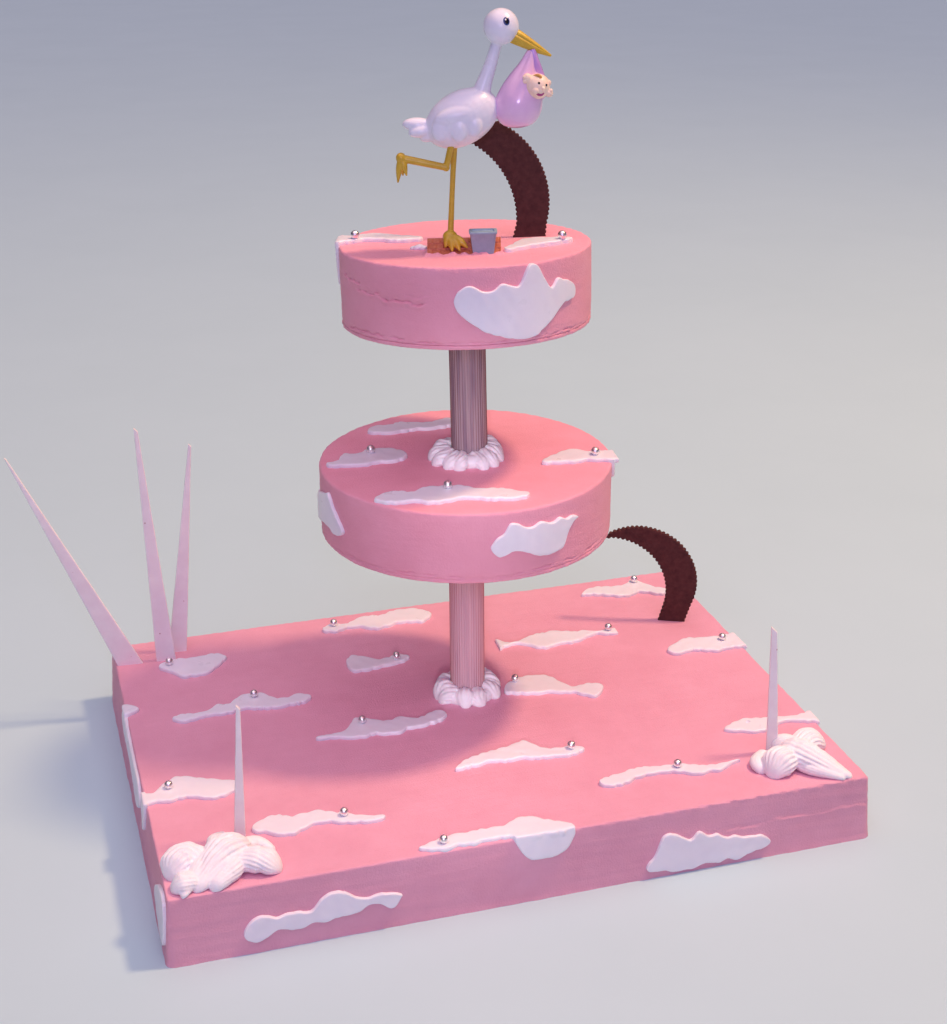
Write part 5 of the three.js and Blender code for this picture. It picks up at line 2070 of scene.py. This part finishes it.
@dataclass(frozen=True)
class StorkBird(Part):
    """The stork: a white body with feathered wings, a beak and two legs.

    The wing is the one on the +Y side. The mouth is a groove along both sides of the beak: its angle and
    width are in radians, its depth is a share of the beak's radius.
    """

    head: Egg = Egg((29.7, 0, 167.8), (13.4, 13.4, 13.4))
    trunk: Egg = Egg((-1.0, 0, 101.6), (30, 18.5, 20.2), 27)
    neck: Bar = Bar(
        ((9, 0, 108), (12.8, 0, 116), (16.4, 0, 127), (21.3, 0, 140), (26, 0, 155), (28, 0, 161)),
        (11, 8, 6, 4.9, 4.3, 5),
    )
    tail: tuple[Egg, ...] = (
        Egg((-35, 0, 97.6), (11.5, 6.4, 5.2), -2),
        Egg((-32.5, -4, 92.8), (9.5, 4.8, 4.4), 8),
        Egg((-32.5, 4.5, 93.2), (9.5, 4.8, 4.4), 8),
        Egg((-26, -1, 89.5), (8, 6, 4.8), 18),
    )
    wing: tuple[Egg, ...] = (
        Egg((-5.5, 13.8, 104.5), (17, 5.2, 7.5), 14),
        Egg((-16.5, 12.8, 95.0), (7.6, 4.4, 9.6), -8),
        Egg((-3.0, 15.0, 95.0), (6.8, 4.4, 9.8), -8),
        Egg((8.6, 13.9, 97.4), (5.6, 4.2, 8.8), -8),
    )
    beak_path: Places = ((33, 0, 164.4), (44, 0, 158.4), (57, 0, 151.2), (67, 0, 145.8))
    beak_radii: Numbers = (6.3, 5.3, 3.2, 0.8)
    beak_width: float = 0.86
    beak_mesh: tuple[int, int] = (48, 72)
    mouth_angle: float = 0.35
    mouth_width: float = 0.16
    mouth_depth: float = 0.16
    standing_leg: Bar = Bar(((-6.8, 3, 88), (-9.5, 1, 50), (-11.8, -2, 14)), (2.6, 2.1, 2.4))
    standing_foot: StorkFoot = StorkFoot(
        Egg((-12.2, -4, 12.2), (5.8, 5.8, 5.0)),
        ((-16.0, -12.5, 5.4), (-10.6, -16.0, 3.0), (-4.6, -15.5, 3.2), (1.4, -12.0, 4.6)), 3.3,
    )
    raised_leg: tuple[Bar | Egg, ...] = (
        Bar(((-8.5, -6, 86), (-13.8, -6, 65.4)), (2.6, 2.4), steps=10),
        Egg((-13.8, -6, 65.4), (2.8, 2.7, 2.8)),
        Bar(((-13.4, -6, 65.6), (-46.5, -6, 73)), (2.6, 3.0), steps=10),
    )
    raised_foot: StorkFoot = StorkFoot(
        Egg((-48.0, -6, 73.4), (3.9, 3.8, 4.2)),
        ((-51.0, -6.5, 54.8), (-44.0, -8, 60.2), (-47, -2.5, 59.5)), 2.6,
    )
    eye: Place = (3.9, 12.0, 4.6)
    eye_layers: tuple[PaintedEye, ...] = (
        PaintedEye("stork_iris", NAVY_ENAMEL, (2.5, 3.2), 0.25, (0, 0)),
        PaintedEye("stork_pupil", BLACK_ENAMEL, (1.7, 2.3), 0.4, (0.1, 0)),
        PaintedEye("stork_glint", WHITE_ENAMEL, (0.6, 0.7), 0.55, (-0.7, 1.0)),
    )
    body_voxel: float = 0.85
    leg_voxel: float = 0.5

    def build(self) -> Pieces:
        """Make the bird.

        Returns:
            Its pieces.
        """
        return moulded((
            ("stork_feathers", self.body(), WHITE_PVC, ["stork_body"]),
            ("stork_bill", self.beak(), OCHRE_PVC, ["stork_beak"]),
            ("stork_legs", self.legs(), OCHRE_PVC, ["stork_leg", "stork_raised_leg"]),
        )) + self.eyes()

    def body(self) -> Shape:
        """Body, head, neck, tail and wings, run together like a moulded figure.

        Returns:
            The closed body.
        """
        forms = [form.shape() for form in (self.trunk, self.head, self.neck, *self.tail)]
        for side in (-1, 1):
            for form in self.wing:
                x, out, z = form.at
                forms.append(replace(form, at=(x, side * out, z)).shape())
        return melted(forms, self.body_voxel, 2)

    def beak(self) -> Shape:
        """A long beak with a groove where it opens.

        Returns:
            The closed beak.
        """
        share = np.linspace(0, 1, self.beak_mesh[0])
        path = smooth_through(self.beak_path, share)
        size = smooth_through(self.beak_radii, share)[:, None]
        way = unit(np.gradient(path, axis=0))
        across = np.array([0, 1.0, 0])
        up = np.cross(way, across) * -1
        turn = full_turn(self.beak_mesh[1])
        mouth = sum(
            hump((turn - at + math.pi) % math.tau - math.pi, self.mouth_width)
            for at in (-self.mouth_angle, math.pi + self.mouth_angle)
        )
        reach = size * (1 - self.mouth_depth * mouth)
        sideways = self.beak_width * reach * np.cos(turn)
        rise = reach * np.sin(turn)
        return loft(path[:, None] + sideways[..., None] * across + rise[..., None] * up[:, None])

    def legs(self) -> Shape:
        """A straight leg on the roof and a bent one held up behind it.

        Returns:
            Both legs with their feet.
        """
        straight = [self.standing_leg.shape(), *self.standing_foot.shapes()]
        bent = [*(form.shape() for form in self.raised_leg), *self.raised_foot.shapes()]
        return joined([melted(leg, self.leg_voxel, 3) for leg in (straight, bent)])

    def eyes(self) -> Pieces:
        """Two painted eyes: an iris, a pupil and a glint.

        Returns:
            One piece for each layer.
        """
        x, _, z = self.head.at
        ahead, out, above = self.eye
        made = []
        for layer in self.eye_layers:
            dots = []
            for side in (-1, 1):
                at = (x + ahead + layer.shift[0], side * out, z + above + layer.shift[1])
                dots.append(painted_dot(self.head.at, self.head.size[0], at, layer.size, layer.lift))
            made.append(make_piece(layer.name, joined(dots).placed(STORK_PLACE), layer.paint))
        return made


@dataclass(frozen=True)
class BabyBundle(Part):
    """The cloth that hangs from the beak and the baby in it.

    The cloth's rings are height, middle and radius. It gathers from a height on, over a length, in folds: a
    share of the radius, a count and an angle. Places on the face are across and up, seen from its front.
    """

    face: Egg = Egg((56, -6.5, 124.5), (9.8, 9.0, 9.4))
    cloth_rings: Places = (
        (93.6, 40.5, 4), (95.5, 41, 10.5), (99, 41.3, 14.6), (105, 41.6, 17.6), (111.5, 42, 18.2),
        (118, 42.8, 17), (126, 44.2, 14), (134, 46.6, 10.3), (142, 49.8, 6.5), (150.5, 52.6, 3.8),
    )
    cloth_depth: float = 0.82
    cloth_mesh: tuple[int, int] = (70, 72)
    cloth_voxel: float = 0.7
    gather: Spot = (118.0, 28.0)
    broad_folds: Place = (0.09, 5, 0.6)
    fine_folds: Place = (0.04, 9, 2.0)
    hem_at: Place = (54.4, -3.6, 123.6)
    hem_turn: float = 24.0
    hem_radius: float = 9.9
    hem_roll: float = 1.7
    hem_mesh: tuple[int, int] = (64, 14)
    strap: Bar = Bar(
        ((53, -1.2, 151), (54.5, -1.6, 145), (56.5, -1.2, 138), (58.5, 0.5, 130)), (2.4, 2.6, 3.2, 4.0),
    )
    eyes_at: tuple[Spot, ...] = ((1.1, 3.2), (6.6, 1.4))
    eye_radius: float = 0.9
    nose: tuple[Spot, Place] = ((4.3, -1.0), (1.5, 1.3, 1.4))
    cheek: tuple[Spot, Place] = ((-1.6, -2.6), (2.6, 1.4, 2.4))
    ear: tuple[Place, Place] = ((8.6, -2.5, 2.5), (2.0, 1.4, 2.6))
    hands: tuple[Egg, ...] = (
        Egg((48.6, -9.5, 131), (3.6, 3.2, 3.6)),
        Egg((46.6, -11, 128.6), (1.5, 1.5, 1.6)),
        Egg((46.2, -11, 131.6), (1.4, 1.4, 1.5)),
        Egg((64.8, -8, 119.5), (3.2, 3, 3)),
        Egg((66.4, -9.5, 121.6), (1.3, 1.3, 1.4)),
    )
    skin_voxel: float = 0.42
    curl: Places = ((-2.5, -3.0, 8.2), (0.5, -4.6, 8.4), (2.6, -5.2, 7.0), (1.4, -6.2, 6.0))
    curl_radii: Numbers = (0.6, 1.3, 1.1, 0.4)
    smile: tuple[Spot, ...] = ((-1.6, -3.0), (0.2, -5.0), (2.8, -5.6), (5.0, -4.2))
    smile_radii: Numbers = (0.4, 0.95, 0.95, 0.4)

    def build(self) -> Pieces:
        """Make the bundle and the baby.

        Returns:
            Their pieces.
        """
        eyes = joined([self.dot(at, self.eye_radius) for at in self.eyes_at])
        return moulded((
            ("cloth_bundle", self.cloth(), PINK_PVC, ["bundle"]),
            # The band is the pink cloth with painted shade.
            ("cloth_band", self.strap.shape(), PAINTED_SHADE_PINK_PVC, []),
            ("baby_skin", self.baby(), SKIN_PVC, ["baby"]),
            ("baby_hair", self.hair(), BLOND_ENAMEL, []),
            ("baby_eyes", eyes, BLACK_ENAMEL, []),
            ("baby_mouth", self.mouth(), ROSE_ENAMEL, []),
        ))

    def cloth(self) -> Shape:
        """A full round bag that gathers to a knot, with soft folds near the top.

        Returns:
            The closed bag and its hem.
        """
        share = np.linspace(0, 1, self.cloth_mesh[0])
        z, x, half = (column[:, None] for column in smooth_through(self.cloth_rings, share).T)
        turn = full_turn(self.cloth_mesh[1])
        gather = clipped((z - self.gather[0]) / self.gather[1])
        folds = 1
        for depth, count, start in (self.broad_folds, self.fine_folds):
            folds = folds + depth * gather * np.cos(count * turn + start)
        reach = half * folds
        sideways = self.cloth_depth * reach * np.sin(turn)
        bag = loft(np.stack([x + reach * np.cos(turn), sideways, z + 0 * turn], -1))
        return melted([bag, self.hem()], self.cloth_voxel, 2)

    def hem(self) -> Shape:
        """The rolled edge of the cloth round the baby's face.

        Returns:
            The closed ring.
        """
        turn, bend = full_turn(self.hem_mesh[0])[:, None], full_turn(self.hem_mesh[1])
        reach = self.hem_radius + self.hem_roll * np.cos(bend)
        depth = self.hem_roll * np.sin(bend) + 0 * turn
        rings = np.stack([reach * np.cos(turn), depth, reach * np.sin(turn)], -1)
        return loft(moved(rings, standing(self.hem_at, math.radians(self.hem_turn))), loop=True)

    def surface_point(self, at: Spot) -> Place:
        """A point of the baby's face.

        Args:
            at: its place, seen from the front.

        Returns:
            The point, which stays on the rim if the place is beyond it.
        """
        x, y, z = self.face.at
        wide, deep, high = self.face.size
        share = 1 - (at[0] / wide) ** 2 - (at[1] / high) ** 2
        return (x + at[0], y - deep * math.sqrt(max(share, 0.02)), z + at[1])

    def dot(self, at: Spot, radius: float) -> Shape:
        """A small painted dot on the face."""
        return Egg(self.surface_point(at), (radius, 0.5 * radius, radius), around=20, rows=12).shape()

    def on_head(self, at: Place) -> Place:
        """A place counted from the middle of the head."""
        return tuple(middle + step for middle, step in zip(self.face.at, at))

    def baby(self) -> Shape:
        """A round head with an ear, a nose and a cheek, and two small hands.

        Returns:
            The closed skin.
        """
        marks = [Egg(self.surface_point(at), size) for at, size in (self.nose, self.cheek)]
        ear = Egg(self.on_head(self.ear[0]), self.ear[1])
        forms = [form.shape() for form in (self.face, *marks, ear, *self.hands)]
        return melted(forms, self.skin_voxel, 3)

    def hair(self) -> Shape:
        """A curl over the forehead."""
        return Bar([self.on_head(at) for at in self.curl], self.curl_radii, around=14).shape()

    def mouth(self) -> Shape:
        """A small smile."""
        return Bar([self.surface_point(at) for at in self.smile], self.smile_radii, around=12).shape()


@dataclass(frozen=True)
class RoofTop(Part):
    """The tiled roof that the stork stands on, and its chimney.

    Joints of a depth and a half width lie between the tiles. The chimney's levels are height, width and
    depth, and its corners are rounder, the lower its square.
    """

    ends: Spot = (-30.0, 27.0)
    half: float = 15.0
    ridge: float = 10.5
    sunk: float = 0.5
    courses: int = 3
    course_rows: Numbers = (0.02, 0.25, 0.5, 0.75, 0.98)
    step: float = 0.9
    tile: float = 5.7
    joint: Spot = (0.55, 0.45)
    ridge_width: float = 0.5
    lines: int = 160
    chimney_at: Spot = (13.4, -9.0)
    chimney_levels: Places = (
        (0, 16.5, 13), (7.5, 18.4, 14.6), (15.4, 20.6, 16.2), (15.8, 21.8, 17), (17.3, 22, 17),
        (17.6, 21.4, 16.4), (17.6, 17.5, 12.6), (16.4, 16.8, 12), (16.4, 0, 0),
    )
    chimney_square: float = 0.86
    chimney_points: int = 48

    def build(self) -> Pieces:
        """Roof and chimney.

        Returns:
            Both pieces.
        """
        return [
            make_piece("tiled_roof", self.tiles().placed(STORK_PLACE), BRICK_PVC, ["roof"]),
            make_piece("chimney_stack", self.chimney().placed(STORK_PLACE), GREY_PVC, ["chimney"]),
        ]

    def tiles(self) -> Shape:
        """A gable with stepped courses and a joint between the tiles of each.

        Returns:
            The closed roof.
        """
        slope = []
        for course in range(self.courses):
            for share in self.course_rows:
                out = self.half * (1 - (course + share) / self.courses)
                rise = self.ridge * (course + share) / self.courses + self.step * (1 - share)
                slope.append((out, rise, course))
        profile = [(-self.half, -self.sunk, 0)] + [(-y, z, c) for y, z, c in slope] + [(0, self.ridge, 0)]
        profile += slope[::-1] + [(self.half, -self.sunk, 0)]
        y, z, course = np.array(profile).T
        x = np.linspace(*self.ends, self.lines)[:, None]
        off = np.abs(((x / self.tile + 0.5 * (course % 2)) % 1) - 0.5) * self.tile
        sunk = self.joint[0] * hump(off, self.joint[1]) * (z > 0) * (np.abs(y) > self.ridge_width)
        return loft(np.stack([x + 0 * y, y + 0 * x, z - sunk], -1))

    def chimney(self) -> Shape:
        """A stack that widens to a rim, with a shallow flue in its top.

        Returns:
            The closed stack.
        """
        x, y = self.chimney_at
        turn = full_turn(self.chimney_points)
        corner = np.maximum(np.abs(np.cos(turn)), np.abs(np.sin(turn)))
        square = np.column_stack([np.cos(turn), np.sin(turn)]) / (corner**self.chimney_square)[:, None] / 2
        rings = [
            np.column_stack([x + width * square[:, 0], y + depth * square[:, 1], np.full(len(turn), z)])
            for z, width, depth in self.chimney_levels
        ]
        return loft(np.array(rings))


# Studio


@dataclass(frozen=True)
class Lamp:
    """A soft lamp: its place, its aim, its power, its colour, its width and its cone in degrees.

    One without a cone is far away: its place is the way to it, and its width is in degrees.
    """

    name: str
    at: Place
    aim: Place
    power: float
    colour: str
    width: float
    cone: float = 0.0

    def build(self) -> None:
        """Hang the lamp in the studio."""
        light = bpy.data.lights.new(self.name, "SPOT" if self.cone else "SUN")
        light.energy = self.power
        light.color = linear(self.colour)[:3]
        if self.cone:
            light.shadow_soft_size = self.width / 2 * MM
            light.spot_size = math.radians(self.cone)
            light.spot_blend = 1.0
        else:
            light.angle = math.radians(self.width)
        lamp = bpy.data.objects.new(self.name, light)
        lamp.location = Vector(self.at) * MM
        lamp.rotation_mode = "QUATERNION"
        lamp.rotation_quaternion = (Vector(self.at) - Vector(self.aim)).to_track_quat("Z", "Y")
        bpy.context.scene.collection.objects.link(lamp)


@dataclass(frozen=True)
class Studio:
    """A pale paper floor, soft light and the camera at the photograph's angle.

    The camera's angles are degrees, and its focal length is in the photograph's pixels.
    """

    photo_size: tuple[int, int] = (947, 1024)
    focal_pixels: float = 1668.9
    camera_at: Place = (-353.6, -1231.0, 783.4)
    yaw: float = 16.53
    pitch: float = 22.94
    roll: float = -0.40
    sensor: float = 36.0
    sight: float = 100000.0
    floor_radius: float = 40000.0
    floor_points: int = 96
    sky: str = "#C9BCE6"
    sky_strength: float = 0.09
    lamps: tuple[Lamp, ...] = (
        Lamp("ceiling", (0, 0, 1), (0, 0, 0), 1.55, "#FFE2E6", 70),
        Lamp("fill", (-0.21, -0.71, 0.67), (0, 0, 0), 0.74, "#E6C8F0", 70),
        Lamp("key", (1560, -220, 3180), (0, 0, 250), 290, "#FFCF9F", 400, 170),
        Lamp("flash", (-354, -1231, 903), (0, 0, 400), 11, "#CABCFF", 160, 80),
        Lamp("lower_beam", (-300, -1000, 420), (12, -10, 88), 22, "#FFF4F6", 120, 13),
        Lamp("upper_beam", (-300, -1000, 640), (14, 0, 300), 26, "#FFF4F6", 120, 10),
    )

    def build(self) -> None:
        """Set up the floor, the light and the camera."""
        self.floor()
        for lamp in self.lamps:
            lamp.build()
        self.surroundings()
        self.camera()

    def floor(self) -> None:
        """A wide disc of paper under the cake."""
        turn = full_turn(self.floor_points)
        rim = self.floor_radius * np.column_stack([np.cos(turn), np.sin(turn), 0 * turn])
        paper = mesh_object("floor", Shape(rim, [tuple(range(len(turn)))]))
        paper.data.materials.append(PAPER.material())

    def surroundings(self) -> None:
        """The dim light of the room."""
        scene = bpy.context.scene
        world = bpy.data.worlds.new("room")
        world.use_nodes = True
        tree = world.node_tree
        tree.nodes.clear()
        glow = add_node(tree, "Background", {
            "Color": linear(self.sky), "Strength": self.sky_strength,
        })
        add_node(tree, "OutputWorld", {"Surface": glow.outputs["Background"]})
        scene.world = world
        scene.view_settings.view_transform = "Standard"

    def camera(self) -> None:
        """The camera, from its place, its angles and its focal length."""
        yaw, pitch, roll = (math.radians(angle) for angle in (self.yaw, self.pitch, self.roll))
        ahead = Vector((
            math.sin(yaw) * math.cos(pitch), math.cos(yaw) * math.cos(pitch), -math.sin(pitch),
        ))
        level = Vector((math.cos(yaw), -math.sin(yaw), 0))
        upright = level.cross(ahead)
        right = math.cos(roll) * level + math.sin(roll) * upright
        up = -math.sin(roll) * level + math.cos(roll) * upright
        turned = Matrix((right, up, -ahead)).transposed().to_4x4()
        lens = bpy.data.cameras.new("camera")
        lens.sensor_width = self.sensor
        lens.lens = self.focal_pixels / max(self.photo_size) * self.sensor
        lens.clip_end = self.sight * MM
        camera = bpy.data.objects.new("camera", lens)
        camera.matrix_world = Matrix.Translation(Vector(self.camera_at) * MM) @ turned
        bpy.context.scene.collection.objects.link(camera)
        bpy.context.scene.camera = camera


def main() -> None:
    """Build the studio and every part of the cake, and log each piece's faces and finish."""
    logging.basicConfig(level=logging.INFO, format="%(name)s: %(message)s")
    Studio().build()
    parts = (
        BASE, MIDDLE, TOP, CloudCover(CLOUDS), IcingScraps(), LEFT_HEAP, RIGHT_HEAP, LOWER_COLUMN,
        UPPER_COLUMN, LOWER_SHELLS, UPPER_SHELLS, *SUGAR_BLADES, *CRESCENTS, RoofTop(), StorkBird(),
        BabyBundle(),
    )
    for part in parts:
        for piece in part.build():
            LOG.info("%s: %d faces, %s", piece.name, len(piece.data.polygons), piece.data.materials[0].name)


if __name__ == "__main__":
    main()
